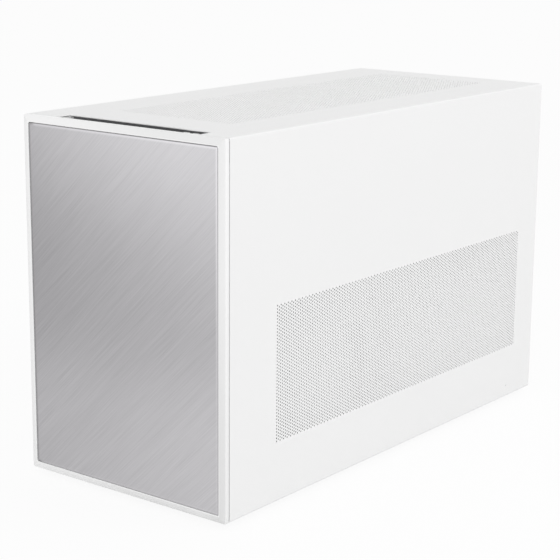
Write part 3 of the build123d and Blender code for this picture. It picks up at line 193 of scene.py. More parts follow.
class Paint(Tree):
    """A material under construction, on one Principled shader."""

    def __init__(self, name: str) -> None:
        """Starts a material.

        Args:
            name: the material's name.
        """
        self.material = bpy.data.materials.new(name)
        self.material.use_nodes = True
        super().__init__(self.material.node_tree)
        self.shader = self.tree.nodes["Principled BSDF"]

    def place(self, scale: Sequence[float] = (1, 1, 1), turn: Sequence[float] = (0, 0, 0)) -> Cell:
        """Object coordinates, turned and scaled.

        Args:
            scale: factors along X, Y and Z.
            turn: rotation about X, Y and Z, in degrees.

        Returns:
            The coordinates.
        """
        spot = self.node("ShaderNodeTexCoord", {}, {}, "Object")
        return self.node(
            "ShaderNodeMapping",
            {"vector_type": "POINT"},
            {"Vector": spot, "Rotation": [math.radians(a) for a in turn], "Scale": list(scale)},
        )

    def along(self, spot: Cell) -> tuple[Cell, Cell, Cell]:
        """Takes a vector apart.

        Args:
            spot: the vector.

        Returns:
            Its X, Y and Z.
        """
        made = self.node("ShaderNodeSeparateXYZ", {}, [spot])
        outputs = made.socket.node.outputs
        return made, Cell(self, outputs[1]), Cell(self, outputs[2])

    def noise(self, spot: Cell, scale: float, detail: float = 2.0, rough: float = 0.5) -> Cell:
        """Soft noise.

        Args:
            spot: where it is read.
            scale: patches per metre.
            detail: levels of finer noise.
            rough: weight of the finer levels.

        Returns:
            The noise, from 0 to 1.
        """
        return self.node(
            "ShaderNodeTexNoise", {}, {"Vector": spot, "Scale": scale, "Detail": detail, "Roughness": rough}
        )

    def cells(self, spot: Cell, scale: float, feature: str = "F1", output: str = "Distance") -> Cell:
        """Voronoi cells.

        Args:
            spot: where they are read.
            scale: cells per metre.
            feature: what is measured in a cell.
            output: which of the node's outputs is used.

        Returns:
            That output.
        """
        return self.node(
            "ShaderNodeTexVoronoi", {"feature": feature}, {"Vector": spot, "Scale": scale}, output
        )

    def blend(self, share: Term, first: Term, second: Term) -> Cell:
        """Mixes two colours.

        Args:
            share: how much of the second.
            first: the first colour.
            second: the second colour.

        Returns:
            The mixed colour.
        """
        made = self.node("ShaderNodeMix", {"data_type": "RGBA"}, {0: share, 6: first, 7: second}, 2)
        return made

    def ramp(self, value: Term, low: float, high: float) -> Cell:
        """Maps 0 to 1 onto a range, held within it."""
        return self.node("ShaderNodeMapRange", {"clamp": True}, {0: value, 3: low, 4: high})

    def step(self, value: Term, start: float, end: float) -> Cell:
        """A smooth step.

        Args:
            value: what is measured.
            start: where the step is still 0.
            end: where it is 1, which may lie below the start.

        Returns:
            The step, from 0 to 1.
        """
        return self.node(
            "ShaderNodeMapRange", {"interpolation_type": "SMOOTHSTEP"}, {0: value, 1: start, 2: end, 3: 0, 4: 1}
        )

    def beyond(self, half_width: float, low: float, high: float) -> Cell:
        """How far a place lies outside an upright rectangle across the front.

        Args:
            half_width: half the rectangle's width, which is centred on X = 0.
            low: height of its lower side.
            high: height of its upper side.

        Returns:
            The distance, below zero within the rectangle.
        """
        across, _, up = self.along(self.place())
        sideways = across.size() - half_width
        return sideways.maths("MAXIMUM", sideways, (up - (low + high) / 2).size() - (high - low) / 2)

    def bump(self, height: Cell, depth: float, strength: float = 1.0) -> None:
        """Feeds the shader's normal from a height.

        Args:
            height: height from 0 to 1.
            depth: what 1 stands for, in metres.
            strength: how much of the effect is used.
        """
        normal = self.node("ShaderNodeBump", {}, {"Height": height, "Distance": depth, "Strength": strength})
        self.tree.links.new(normal.socket, self.shader.inputs["Normal"])

    def shade(self, **values: Term) -> bpy.types.Material:
        """Sets the shader's own sockets, named with underscores.

        Args:
            values: socket names in lower case and what they get.

        Returns:
            The finished material.
        """
        names = {s.name.lower().replace(" ", "_"): s for s in self.shader.inputs}
        for name, value in values.items():
            self.feed(names[name], value)
        return self.material


Colour = tuple[float, float, float]


def rgb(colour: Colour) -> tuple[float, float, float, float]:
    """A colour with its alpha."""
    return (*colour, 1.0)


def toned(colour: Colour, factor: float) -> tuple[float, float, float, float]:
    """A colour made lighter or darker."""
    return (*[min(1.0, c * factor) for c in colour], 1.0)


# ---------------------------------------------------------------- finishes


@dataclass(frozen=True)
class Finish:
    """A surface finish, known by its name."""

    name: str

    def make(self) -> bpy.types.Material:
        """Builds the material."""
        paint = Paint(self.name)
        return paint.shade(**self.looks(paint))

    def looks(self, paint: Paint) -> dict[str, Term]:
        """Lays the nodes of the finish.

        Args:
            paint: the material under construction.

        Returns:
            What the shader's sockets get, named as Paint.shade names them.
        """
        raise NotImplementedError


@dataclass(frozen=True)
class PowderCoat(Finish):
    """Fine-textured baked paint on sheet steel."""

    colour: Colour
    roughness: float = 0.5
    grain: float = 0.0006
    depth: float = 0.000008

    def looks(self, paint: Paint) -> dict[str, Term]:
        """Lays the nodes of the finish.

        Args:
            paint: the material under construction.

        Returns:
            What the shader's sockets get.
        """
        spot = paint.place()
        fine = paint.noise(spot, 1 / self.grain, 3.0, 0.6)
        broad = paint.noise(spot, 9.0, 2.0)
        tone = paint.blend(broad, toned(self.colour, 0.992), toned(self.colour, 1.008))
        paint.bump(fine, self.depth, 0.6)
        return {"base_color": tone, "roughness": paint.ramp(fine, self.roughness - 0.06, self.roughness + 0.08)}


@dataclass(frozen=True)
class PlainCoat(Finish):
    """The same paint on a finely punched sheet, whose holes carry all the texture there is room for."""

    colour: Colour
    roughness: float = 0.5

    def looks(self, paint: Paint) -> dict[str, Term]:
        """Gives the finish's plain colour and roughness.

        Args:
            paint: the material under construction; not used.

        Returns:
            What the shader's sockets get.
        """
        return {"base_color": rgb(self.colour), "roughness": self.roughness}


@dataclass(frozen=True)
class Moulding(Finish):
    """Moulded plastic or rubber with a spark-eroded grain."""

    colour: Colour
    roughness: float = 0.5
    grain: float = 0.0005
    depth: float = 0.00002
    scuff: float = 0.06

    def looks(self, paint: Paint) -> dict[str, Term]:
        """Lays the nodes of the finish.

        Args:
            paint: the material under construction.

        Returns:
            What the shader's sockets get.
        """
        spot = paint.place()
        grain = paint.cells(spot, 1 / self.grain, "SMOOTH_F1")
        worn = paint.noise(spot, 45.0, 5.0, 0.65)
        paint.bump(grain, self.depth, 0.5)
        return {
            "base_color": self.tone(paint, worn),
            "roughness": paint.ramp(worn, self.roughness - 0.08, self.roughness + 0.1),
        }

    def tone(self, paint: Paint, worn: Cell) -> Cell:
        """The plastic's colour, varied by how worn it is.

        Args:
            paint: the material under construction.
            worn: wear from 0 to 1.

        Returns:
            The colour.
        """
        return paint.blend(worn, toned(self.colour, 1 - self.scuff), toned(self.colour, 1 + self.scuff))


@dataclass(frozen=True)
class FrontRim(Moulding):
    """The rim round the plate, with painted light on its left, painted highlights along its inner edge and on its
    flanks, and painted shade low on its right.
    """

    # strengths of the painted light and highlights, and of the painted shade
    painted_light_tone: float = 1.1
    painted_shade_tone: float = 0.88
    half_width: float = 0.1025
    lip_highlight: tuple[float, float, float] = (0.0974, 0.0101, 0.2909)  # half its width, its foot and its top
    lip_highlight_blur: float = 0.0001
    flank_highlight_blur: tuple[float, float] = (0.0003, 0.0001)
    flank_highlight_share: float = 0.6
    left: tuple[float, float] = (0.06, -0.09)  # X where the painted light starts and where it is strongest
    right: tuple[float, float] = (0.08, 0.099)  # the same for the painted shade, along X and then downwards
    down: tuple[float, float] = (0.22, 0.01)

    def tone(self, paint: Paint, worn: Cell) -> Cell:
        """The rim's colour, with painted light, painted highlights and painted shade by place, and varied by wear.

        Args:
            paint: the material under construction.
            worn: wear from 0 to 1.

        Returns:
            The colour.
        """
        across, _, up = paint.along(paint.place())
        # painted light towards the left
        left = paint.step(across, *self.left)
        # painted shade low on the right
        painted_shade_low_right = paint.step(across, *self.right) * paint.step(up, *self.down)
        # painted highlights on the flanks and along the inner edge round the plate
        start, end = (self.half_width - inset for inset in self.flank_highlight_blur)
        flank_highlight = paint.step(across.size(), start, end) * self.flank_highlight_share
        lip_highlight = paint.step(paint.beyond(*self.lip_highlight), self.lip_highlight_blur, -self.lip_highlight_blur)
        edges = flank_highlight.maths("MAXIMUM", flank_highlight, lip_highlight)
        tone = paint.blend(left, super().tone(paint, worn), toned(self.colour, self.painted_light_tone))
        tone = paint.blend(painted_shade_low_right, tone, toned(self.colour, self.painted_shade_tone))
        return paint.blend(edges, tone, toned(self.colour, self.painted_light_tone))


@dataclass(frozen=True)
class BrushedPlate(Finish):
    """Anodised aluminium plate, brushed along a slant in its own plane, with a painted reflection that grows lighter
    to the right and towards its top and foot, a polished edge with a painted highlight, painted shade along its left
    edge and a painted shadow line round its border.
    """

    dark: Colour
    light: Colour
    slant: float = 44.0
    line: float = 0.0007
    half_width: float = 0.0963
    low: float = 0.0112
    high: float = 0.2898
    # width of the edge band with the painted highlight and, on the left, painted shade
    edge: float = 0.003
    # width of the painted shadow line round the border
    border: float = 0.0009
    waist: float = 0.15  # height where the painted reflection leaves the plate darkest
    # heights where the painted reflection is strongest, at the top and at the foot
    crown: float = 0.31
    foot: float = 0.06
    base: float = 0.04  # share of the light colour at the waist's left end, where the painted reflection is weakest
    painted_reflection_rightward: float = 0.295  # what the right end adds to it
    painted_reflection_top_right: float = 0.55
    painted_reflection_top_left: tuple[float, float] = (0.35, 0.5)  # at the left end, and what the right end adds
    painted_reflection_bottom: tuple[float, float] = (0.23, -0.06)
    grain: tuple[float, float, float] = (0.08, 0.04, 0.5)  # weight of bands, strokes and lines
    shadow_width: float = 0.008  # the left edge lies in shade over this width

    def stretched(self, paint: Paint, turned: Cell, length: float, width: float, detail: float) -> Cell:
        """Noise drawn out along the brush lines.

        Args:
            paint: the material under construction.
            turned: coordinates with X along the lines.
            length: length of a stroke.
            width: width of a stroke.
            detail: levels of detail.

        Returns:
            The noise, from 0 to 1.
        """
        scaled = paint.node(
            "ShaderNodeMapping", {"vector_type": "POINT"},
            {"Vector": turned, "Scale": [1 / length, 1.0, 1 / width]},
        )
        return paint.noise(scaled, 1.0, detail, 0.6)

    def looks(self, paint: Paint) -> dict[str, Term]:
        """Lays the nodes of the finish.

        Args:
            paint: the material under construction.

        Returns:
            What the shader's sockets get.
        """
        turned = paint.place(turn=(0, self.slant, 0))
        lines = self.stretched(paint, turned, 0.05, self.line, 3.0)
        strokes = self.stretched(paint, turned, 0.12, 0.005, 2.0)
        bands = self.stretched(paint, turned, 0.5, 0.05, 1.0)
        across, _, up = paint.along(paint.place())
        # painted reflection: lighter towards the right, the top and the foot of the plate
        sweep = (across / (2 * self.half_width) + 0.5).clamped()
        rise, fall = paint.step(up, self.waist, self.crown), paint.step(up, self.waist, self.foot)
        on_left, to_right = self.painted_reflection_top_left
        crown = sweep * rise * self.painted_reflection_top_right + (1 - sweep) * rise * rise * (on_left + sweep * to_right)
        painted_reflection = crown + fall * (self.painted_reflection_bottom[0] + sweep * self.painted_reflection_bottom[1])
        broad, middling, fine = self.grain
        grain = (bands - 0.5) * broad + (strokes - 0.5) * middling + (lines - 0.5) * fine
        share = (sweep * self.painted_reflection_rightward + painted_reflection + grain + self.base).clamped()
        tone = paint.blend(share, rgb(self.dark), rgb(self.light))
        outside = paint.beyond(self.half_width, self.low, self.high)
        # painted highlight on the edge, stronger at the top and to the right, and painted shade along the left edge
        inward = paint.step(across, -self.half_width, -self.half_width + self.shadow_width)
        rim = paint.step(outside, -self.edge, 0.0)
        painted_edge_highlight = rim * (paint.step(up, 0.06, 0.28) * 0.75 + 0.1) * (sweep * 0.5 + 0.5) * inward
        tone = paint.blend(painted_edge_highlight, tone, toned(self.light, 1.3))
        tone = paint.blend(rim * (1 - inward), tone, toned(self.dark, 0.75))
        # painted shadow line round the border, darker on the left
        border = paint.blend(inward, toned(self.dark, 0.6), toned(self.dark, 1.35))
        paint.bump(lines, 0.00003, 0.6)
        return {
            "base_color": paint.blend(paint.step(outside, -self.border, -self.border / 2), tone, border),
            "metallic": 0.9,
            "roughness": paint.ramp(lines, 0.34, 0.46) - rim * 0.1,
        }


@dataclass(frozen=True)
class Zinc(Finish):
    """Zinc-coated or plated sheet with faint spangle and rolling marks."""

    colour: Colour
    roughness: float = 0.42
    spangle: float = 0.006
    metallic: float = 0.6

    def looks(self, paint: Paint) -> dict[str, Term]:
        """Lays the nodes of the finish.

        Args:
            paint: the material under construction.

        Returns:
            What the shader's sockets get.
        """
        spot = paint.place()
        patch = paint.cells(spot, 1 / self.spangle, "F1", "Color")
        grey = paint.node("ShaderNodeRGBToBW", {}, [patch])
        rolled = paint.noise(paint.place(scale=(900, 14, 900)), 1.0, 2.0)
        tone = paint.blend(
            (grey * 0.5 + rolled * 0.5).clamped(), toned(self.colour, 0.93), toned(self.colour, 1.06)
        )
        paint.bump(rolled, 0.000006, 0.5)
        return {
            "base_color": tone,
            "metallic": self.metallic,
            "roughness": paint.ramp(grey, self.roughness - 0.06, self.roughness + 0.08),
        }


@dataclass(frozen=True)
class Machined(Finish):
    """Turned, stamped or drawn bare metal with fine lines along one axis."""

    colour: Colour
    roughness: float = 0.3
    lines: tuple[float, float, float] = (40.0, 40.0, 2600.0)
    metallic: float = 1.0

    def looks(self, paint: Paint) -> dict[str, Term]:
        """Lays the nodes of the finish.

        Args:
            paint: the material under construction.

        Returns:
            What the shader's sockets get.
        """
        drawn = paint.noise(paint.place(scale=self.lines), 1.0, 3.0, 0.6)
        smudge = paint.noise(paint.place(), 60.0, 4.0, 0.6)
        tone = paint.blend(
            (drawn * 0.6 + smudge * 0.4).clamped(), toned(self.colour, 0.86), toned(self.colour, 1.1)
        )
        paint.bump(drawn, 0.00001, 0.6)
        return {
            "base_color": tone,
            "metallic": self.metallic,
            "roughness": paint.ramp(smudge, self.roughness - 0.07, self.roughness + 0.1),
        }


@dataclass(frozen=True)
class CircuitMask(Finish):
    """Solder mask over copper tracks, on a board that lies across one axis."""

    mask: Colour
    track: Colour
    pad: Colour
    upright: bool = True

    def looks(self, paint: Paint) -> dict[str, Term]:
        """Lays the nodes of the finish.

        Args:
            paint: the material under construction.

        Returns:
            What the shader's sockets get.
        """
        spot = paint.place(turn=(0, 90, 0) if self.upright else (0, 0, 0))
        mesh = paint.node(
            "ShaderNodeTexBrick",
            {"offset": 0.5, "squash": 0.6, "squash_frequency": 3},
            {
                "Vector": spot, "Scale": 1.0, "Mortar Size": 0.00018, "Brick Width": 0.019, "Row Height": 0.0016,
                "Mortar Smooth": 0.1, "Bias": 0.0,
            },
            "Fac",
        )
        region = paint.noise(spot, 34.0, 1.0).above(0.5)
        vias = paint.cells(spot, 260.0).below(0.12)
        tracks = (mesh * region + vias).clamped()
        broad = paint.noise(spot, 20.0, 3.0)
        base = paint.blend(broad, toned(self.mask, 0.85), toned(self.mask, 1.15))
        with_tracks = paint.blend(tracks * 0.8, base, rgb(self.track))
        pads = paint.cells(spot, 120.0).below(0.07)
        tone = paint.blend(pads, with_tracks, rgb(self.pad))
        paint.bump(tracks, 0.00004, 0.5)
        return {"base_color": tone, "roughness": paint.ramp(broad, 0.28, 0.42), "metallic": pads * 0.9}


@dataclass(frozen=True)
class PortChannel(Finish):
    """Dark moulding of the port channel, with light ends that close the slot."""

    dark: Colour
    light: Colour
    low_x: float = -67.6 * MM
    high_x: float = 72.1 * MM

    def looks(self, paint: Paint) -> dict[str, Term]:
        """Lays the nodes of the finish.

        Args:
            paint: the material under construction.

        Returns:
            What the shader's sockets get.
        """
        spot = paint.place()
        across, _, _ = paint.along(spot)
        ends = (across.below(self.low_x) + across.above(self.high_x)).clamped()
        worn = paint.noise(spot, 60.0, 4.0, 0.6)
        tone = paint.blend(worn, toned(self.dark, 0.92), toned(self.dark, 1.08))
        paint.bump(paint.cells(spot, 2200.0, "SMOOTH_F1"), 0.00002, 0.5)
        return {"base_color": paint.blend(ends, tone, rgb(self.light)), "roughness": 0.5}


@dataclass(frozen=True)
class Woven(Finish):
    """A fine square weave: filter net or braided sleeve, turned by an angle."""

    colour: Colour
    gap: Colour
    pitch: float = 0.0009
    turn: tuple[float, float, float] = (0.0, 0.0, 0.0)
    roughness: float = 0.7

    def looks(self, paint: Paint) -> dict[str, Term]:
        """Lays the nodes of the finish.

        Args:
            paint: the material under construction.

        Returns:
            What the shader's sockets get.
        """
        spot = paint.place(turn=self.turn)
        threads = []
        for axis in ("X", "Y", "Z"):
            threads.append(
                paint.node(
                    "ShaderNodeTexWave",
                    {"wave_type": "BANDS", "bands_direction": axis, "wave_profile": "SIN"},
                    {"Vector": spot, "Scale": 0.314 / self.pitch, "Distortion": 0.0},
                )
            )
        height = threads[0].maths("MAXIMUM", threads[0], threads[1])
        height = height.maths("MAXIMUM", height, threads[2] * 0.9)
        tone = paint.blend(paint.step(height, 0.45, 0.8), rgb(self.gap), rgb(self.colour))
        paint.bump(height, self.pitch * 0.25, 0.8)
        return {"base_color": tone, "roughness": self.roughness}


WHITE: Colour = (0.87, 0.87, 0.87)
BEZEL_WHITE: Colour = (0.86, 0.86, 0.86)

FINISHES: dict[str, Finish] = {
    finish.name: finish
    for finish in (
        PowderCoat("white_powder_coat", WHITE),
        FrontRim("white_bezel", BEZEL_WHITE, 0.42, 0.0005, 0.000006, 0.006),
        BrushedPlate("brushed_aluminium", (0.365, 0.358, 0.37), (0.745, 0.735, 0.755)),
        PowderCoat("inner_steel", (0.78, 0.785, 0.79), 0.46),
        Zinc("plated_steel", (0.62, 0.63, 0.64)),
        Moulding("black_plastic", (0.016, 0.016, 0.017), 0.45),
        Moulding("dark_plastic", (0.035, 0.036, 0.04), 0.4),
        Moulding("rubber", (0.02, 0.02, 0.021), 0.75, 0.0008, 0.00004),
        Woven("filter_cloth", (0.05, 0.05, 0.052), (0.004, 0.004, 0.004)),
        Moulding("light_plastic", (0.8, 0.81, 0.8), 0.35, 0.0005, 0.00001),
        CircuitMask("circuit_board", (0.012, 0.014, 0.016), (0.05, 0.055, 0.06), (0.55, 0.42, 0.16)),
        Machined("heat_sink", (0.5, 0.51, 0.53), 0.38, (40, 2600, 40), 0.9),
        Machined("cooler_fins", (0.72, 0.73, 0.74), 0.32, (40, 2600, 40)),
        Machined("nickel", (0.66, 0.66, 0.65), 0.24, (300, 300, 300)),
        Moulding("fan_frame_plastic", (0.022, 0.022, 0.024), 0.48),
        Moulding("fan_blade_plastic", (0.03, 0.03, 0.033), 0.36, 0.0007, 0.000008),
        PowderCoat("supply_paint", (0.02, 0.02, 0.021), 0.5, 0.0005, 0.00002),
        Moulding("cord_sheath", (0.014, 0.014, 0.015), 0.5, 0.0012, 0.00001),
        Woven("sleeved_cable", (0.03, 0.03, 0.032), (0.005, 0.005, 0.005), 0.0012, (45, 0, 45), 0.6),
        PortChannel("port_channel", (0.13, 0.13, 0.135), (0.8, 0.8, 0.8)),
        Moulding("button_plastic", (0.82, 0.82, 0.82), 0.38, 0.0005, 0.00001),
        Machined("drive_metal", (0.5, 0.51, 0.52), 0.36, (40, 1800, 40), 0.8),
        PlainCoat("punched_coat", (0.9, 0.9, 0.9)),
    )
}


class Wardrobe:
    """Makes each finish once and dresses pieces and solids with it."""

    def __init__(self, finishes: dict[str, Finish]) -> None:
        """Keeps the finishes.

        Args:
            finishes: them, by name.
        """
        self.finishes = finishes
        self.made: dict[str, bpy.types.Material] = {}

    def material(self, slot: str) -> bpy.types.Material:
        """The material of a slot, made when it is first asked for.

        Args:
            slot: the finish's name.

        Returns:
            The material.
        """
        if slot not in self.made:
            self.made[slot] = self.finishes[slot].make()
        return self.made[slot]

    def dress(self, piece: bpy.types.Object, slot: str) -> None:
        """Gives a piece one material all over.

        Args:
            piece: the mesh or curve.
            slot: the finish.
        """
        piece.data.materials.clear()
        piece.data.materials.append(self.material(slot))

    @staticmethod
    def slot_of(node: str) -> str:
        """The record's slot for a node."""
        return next(part["material_slot"] for part in frame["record"]["subparts"] if part["node"] == node)

    def finish_of(self, node: str) -> str:
        """The finish a node wears: its slot's, apart from the few that have one of their own."""
        return OWN_FINISH.get(node, self.slot_of(node))

    def dress_solids(self) -> None:
        """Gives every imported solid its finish."""
        for part in frame["record"]["subparts"]:
            self.dress(frame["nodes"][part["node"]], self.finish_of(part["node"]))


OWN_FINISH: dict[str, str] = {"io_channel": "port_channel", "power_button": "button_plastic"}
wardrobe = Wardrobe(FINISHES)


# ---------------------------------------------------------------- meshes


def new_piece(name: str, mesh: bpy.types.Mesh) -> bpy.types.Object:
    """Puts a mesh in the scene as an object at the origin.

    Args:
        name: the object's name.
        mesh: its mesh.

    Returns:
        The object.
    """
    piece = bpy.data.objects.new(name, mesh)
    bpy.context.scene.collection.objects.link(piece)
    return piece


def settle(piece: bpy.types.Object, body: Bodies, slot: str, nodes: Sequence[str] = ()) -> bpy.types.Object:
    """Dresses a finished piece, hangs it on its body and hides the solids that it stands for.

    Args:
        piece: the finished piece.
        body: what it moves with.
        slot: the finish it is dressed in where it has no material yet.
        nodes: solids it replaces.

    Returns:
        The piece.
    """
    if not piece.data.materials:
        wardrobe.dress(piece, slot)
    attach(piece, body.value)
    if nodes:
        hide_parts(*nodes)
    log.info("%s rides on %s", piece.name, body.value)
    return piece


def meshed(form: bmesh.types.BMesh, name: str) -> bpy.types.Mesh:
    """Turns a form into a new mesh and frees the form.

    Args:
        form: the form.
        name: the mesh's name.

    Returns:
        The mesh.
    """
    mesh = bpy.data.meshes.new(name)
    form.to_mesh(mesh)
    form.free()
    return mesh


@contextmanager
def edited(mesh: bpy.types.Mesh) -> Iterator[bmesh.types.BMesh]:
    """Opens a mesh as a form, and writes the form back at the end.

    Args:
        mesh: the mesh.

    Returns:
        The form, for a with block.
    """
    form = bmesh.new()
    form.from_mesh(mesh)
    yield form
    form.to_mesh(mesh)
    form.free()


def span(node: str) -> tuple[Vector, Vector]:
    """The low and the high corner of a solid, in millimetres."""
    low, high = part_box(node)
    return low / MM, high / MM


def applied(piece: bpy.types.Object) -> bpy.types.Object:
    """Turns a piece with modifiers into a plain mesh and removes the modifiers.

    Args:
        piece: the piece.

    Returns:
        The same piece.
    """
    bpy.context.view_layer.update()
    graph = bpy.context.evaluated_depsgraph_get()
    mesh = bpy.data.meshes.new_from_object(piece.evaluated_get(graph))
    mesh.name = piece.name
    piece.modifiers.clear()
    piece.data = mesh
    return piece


def softened(node: str, edge: float, segments: int = 2, angle: float = 30.0) -> bpy.types.Object:
    """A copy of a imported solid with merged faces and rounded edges.

    Args:
        node: the solid.
        edge: width of the rounding, in metres.
        segments: facets across the rounding.
        angle: least turn between two faces that makes an edge, in degrees.

    Returns:
        The new piece, with no body yet.
    """
    mesh = frame["nodes"][node].data.copy()
    with edited(mesh) as form:
        bmesh.ops.remove_doubles(form, verts=form.verts, dist=MERGE)
        bmesh.ops.dissolve_limit(
            form, angle_limit=math.radians(1.0), verts=form.verts, edges=form.edges, use_dissolve_boundaries=False
        )
        for face in form.faces:
            face.smooth = True
    mesh.materials.clear()
    piece = new_piece(f"{node}_dressed", mesh)
    bevel = piece.modifiers.new("edges", "BEVEL")
    bevel.width = edge
    bevel.segments = segments
    bevel.limit_method = "ANGLE"
    bevel.angle_limit = math.radians(angle)
    bevel.harden_normals = True
    bevel.use_clamp_overlap = True
    applied(piece)
    return piece


# ---------------------------------------------------------------- geometry node trees


class Grower(Tree):
    """A geometry node tree with named inputs, which ends in Realize Instances and Set Material."""

    def __init__(self, name: str, inputs: dict[str, str]) -> None:
        """Starts a tree.

        Args:
            name: the tree's name.
            inputs: names of its inputs and their socket types.
        """
        super().__init__(bpy.data.node_groups.new(name, "GeometryNodeTree"))
        self.identifiers: dict[str, str] = {}
        face = self.tree.interface
        face.new_socket("Geometry", in_out="INPUT", socket_type="NodeSocketGeometry")
        for label, kind in {**inputs, "Finish": "NodeSocketMaterial"}.items():
            self.identifiers[label] = face.new_socket(label, in_out="INPUT", socket_type=kind).identifier
        face.new_socket("Geometry", in_out="OUTPUT", socket_type="NodeSocketGeometry")
        self.entry = self.tree.nodes.new("NodeGroupInput")

    def given(self, label: str) -> Cell:
        """One of the tree's inputs."""
        return Cell(self, self.entry.outputs[label])

    def grid(self, length: Term, width: Term, columns: Term, rows: Term) -> Cell:
        """A flat grid of points, centred on the origin.

        Args:
            length: its size along X.
            width: its size along Y.
            columns: points along X.
            rows: points along Y.

        Returns:
            The grid.
        """
        return self.node(
            "GeometryNodeMeshGrid", {},
            {"Size X": length, "Size Y": width, "Vertices X": columns, "Vertices Y": rows},
        )

    def joined(self, first: Cell, second: Cell) -> Cell:
        """Joins two geometries.

        Args:
            first: one geometry.
            second: the other.

        Returns:
            Both as one.
        """
        both = self.node("GeometryNodeJoinGeometry", {}, [first])
        self.tree.links.new(second.socket, both.socket.node.inputs[0])
        return both

    def end(self, geometry: Cell) -> None:
        """Realizes the copies, sets their material and closes the tree.

        Args:
            geometry: what the tree hands back.
        """
        real = self.node("GeometryNodeRealizeInstances", {}, [geometry])
        dressed = self.node("GeometryNodeSetMaterial", {}, {"Geometry": real, "Material": self.given("Finish")})
        leave = self.tree.nodes.new("NodeGroupOutput")
        self.tree.links.new(dressed.socket, leave.inputs[0])

    def grow(self, name: str, seed: bpy.types.Mesh, slot: str, **values: Term) -> bpy.types.Object:
        """Runs the tree on a mesh and hands back the result as a plain mesh.

        Args:
            name: the new piece's name.
            seed: the mesh that goes in.
            slot: the finish that the tree sets.
            values: the inputs, by label with underscores for spaces.

        Returns:
            The new piece.
        """
        piece = new_piece(name, seed)
        growth = piece.modifiers.new("growth", "NODES")
        growth.node_group = self.tree
        growth[self.identifiers["Finish"]] = wardrobe.material(slot)
        for label, value in values.items():
            growth[self.identifiers[label.replace("_", " ")]] = value
        return applied(piece)


def row_tree() -> Grower:
    """Lays out a tree that repeats its mesh in a straight row.

    Returns:
        The tree.
    """
    grower = Grower("straight row", {"Count": "NodeSocketInt", "Step": "NodeSocketVector"})
    line = grower.node(
        "GeometryNodeMeshLine", {"mode": "OFFSET"}, {"Count": grower.given("Count"), "Offset": grower.given("Step")}
    )
    grower.end(
        grower.node("GeometryNodeInstanceOnPoints", {}, {"Points": line, "Instance": grower.given("Geometry")})
    )
    return grower


def spot_tree() -> Grower:
    """Lays out a tree that sets a copy of another object on each point of its mesh, all turned the same way.

    Returns:
        The tree.
    """
    grower = Grower("copies on spots", {"Copied": "NodeSocketObject", "Turn": "NodeSocketVector"})
    info = grower.node("GeometryNodeObjectInfo", {}, {"Object": grower.given("Copied")}, "Geometry")
    turn = grower.node("FunctionNodeEulerToRotation", {}, [grower.given("Turn")])
    grower.end(
        grower.node(
            "GeometryNodeInstanceOnPoints",
            {},
            {"Points": grower.given("Geometry"), "Instance": info, "Rotation": turn},
        )
    )
    return grower


def lattice_tree() -> Grower:
    """Lays out a tree that sets one holed cell in columns, every second one half a step lower, with whole ends.

    Returns:
        The tree.
    """
    grower = Grower(
        "staggered punching",
        {
            "Columns": "NodeSocketInt", "Rows": "NodeSocketInt", "Along": "NodeSocketFloat",
            "Across": "NodeSocketFloat", "Thickness": "NodeSocketFloat",
        },
    )
    columns, rows = grower.given("Columns"), grower.given("Rows")
    along, across = grower.given("Along"), grower.given("Across")
    grid = grower.grid((columns - 1) * along, (rows - 1) * across, columns, rows)
    index = grower.node("GeometryNodeInputIndex")
    column = index.maths("FLOOR", index / rows)
    odd = index.maths("MODULO", column, 2.0)
    row = index - column * rows
    shift = grower.node("ShaderNodeCombineXYZ", {}, [0.0, odd * across * 0.5, 0.0])
    moved = grower.node("GeometryNodeSetPosition", {}, {"Geometry": grid, "Offset": shift})
    last = odd * row.above(rows - 1.5)
    kept = grower.node(
        "GeometryNodeDeleteGeometry", {"domain": "POINT"}, {"Geometry": moved, "Selection": last.above(0.5)}
    )
    holes = grower.node("GeometryNodeInstanceOnPoints", {}, {"Points": kept, "Instance": grower.given("Geometry")})
    # plain half cells close the ends of every second column
    ends = grower.grid((columns - 2) * along, (rows - 0.5) * across, columns / 2, 2)
    half = grower.node("ShaderNodeCombineXYZ", {}, [along * 0.5, 0.0, 0.0])
    ends = grower.node("GeometryNodeSetPosition", {}, {"Geometry": ends, "Offset": half})
    filler = grower.grid(along, across * 0.5, 2, 2)
    drop = grower.node("ShaderNodeCombineXYZ", {}, [0.0, 0.0, 0.0 - grower.given("Thickness")])
    flipped = grower.node("GeometryNodeFlipFaces", {}, [filler])
    under = grower.node("GeometryNodeTransform", {}, {"Geometry": flipped, "Translation": drop})
    both = grower.joined(filler, under)
    closed = grower.node("GeometryNodeInstanceOnPoints", {}, {"Points": ends, "Instance": both})
    grower.end(grower.joined(holes, closed))
    return grower


ROW, SPOTS, LATTICE = row_tree(), spot_tree(), lattice_tree()


class Facing(Enum):
    """Which way the top of a copied shape points, as turns about X, Y and Z in degrees."""

    FRONT = (90, 0, 0)
    BACK = (-90, 0, 0)
    LEFT = (0, -90, 0)


Spot = tuple[float, float, float]


def copies(
    name: str, shape: bpy.types.Mesh, spots: Sequence[Spot], facing: Facing, slot: str,
    body: Bodies = Bodies.CHASSIS, nodes: Sequence[str] = (),
) -> None:
    """Sets a copy of a shape on every spot and settles them as one piece.

    Args:
        name: the new piece's name.
        shape: what is copied, with its foot at the origin and its top towards +Z.
        spots: where the copies go, in millimetres.
        facing: which way their tops point.
        slot: their finish.
        body: what they move with.
        nodes: solids they replace.
    """
    model = new_piece(f"{name}_model", shape)
    seeds = bpy.data.meshes.new(name)
    seeds.from_pydata([Vector(spot) * MM for spot in spots], [], [])
    piece = SPOTS.grow(name, seeds, slot, Copied=model, Turn=[math.radians(a) for a in facing.value])
    bpy.data.objects.remove(model)
    settle(piece, body, slot, nodes)


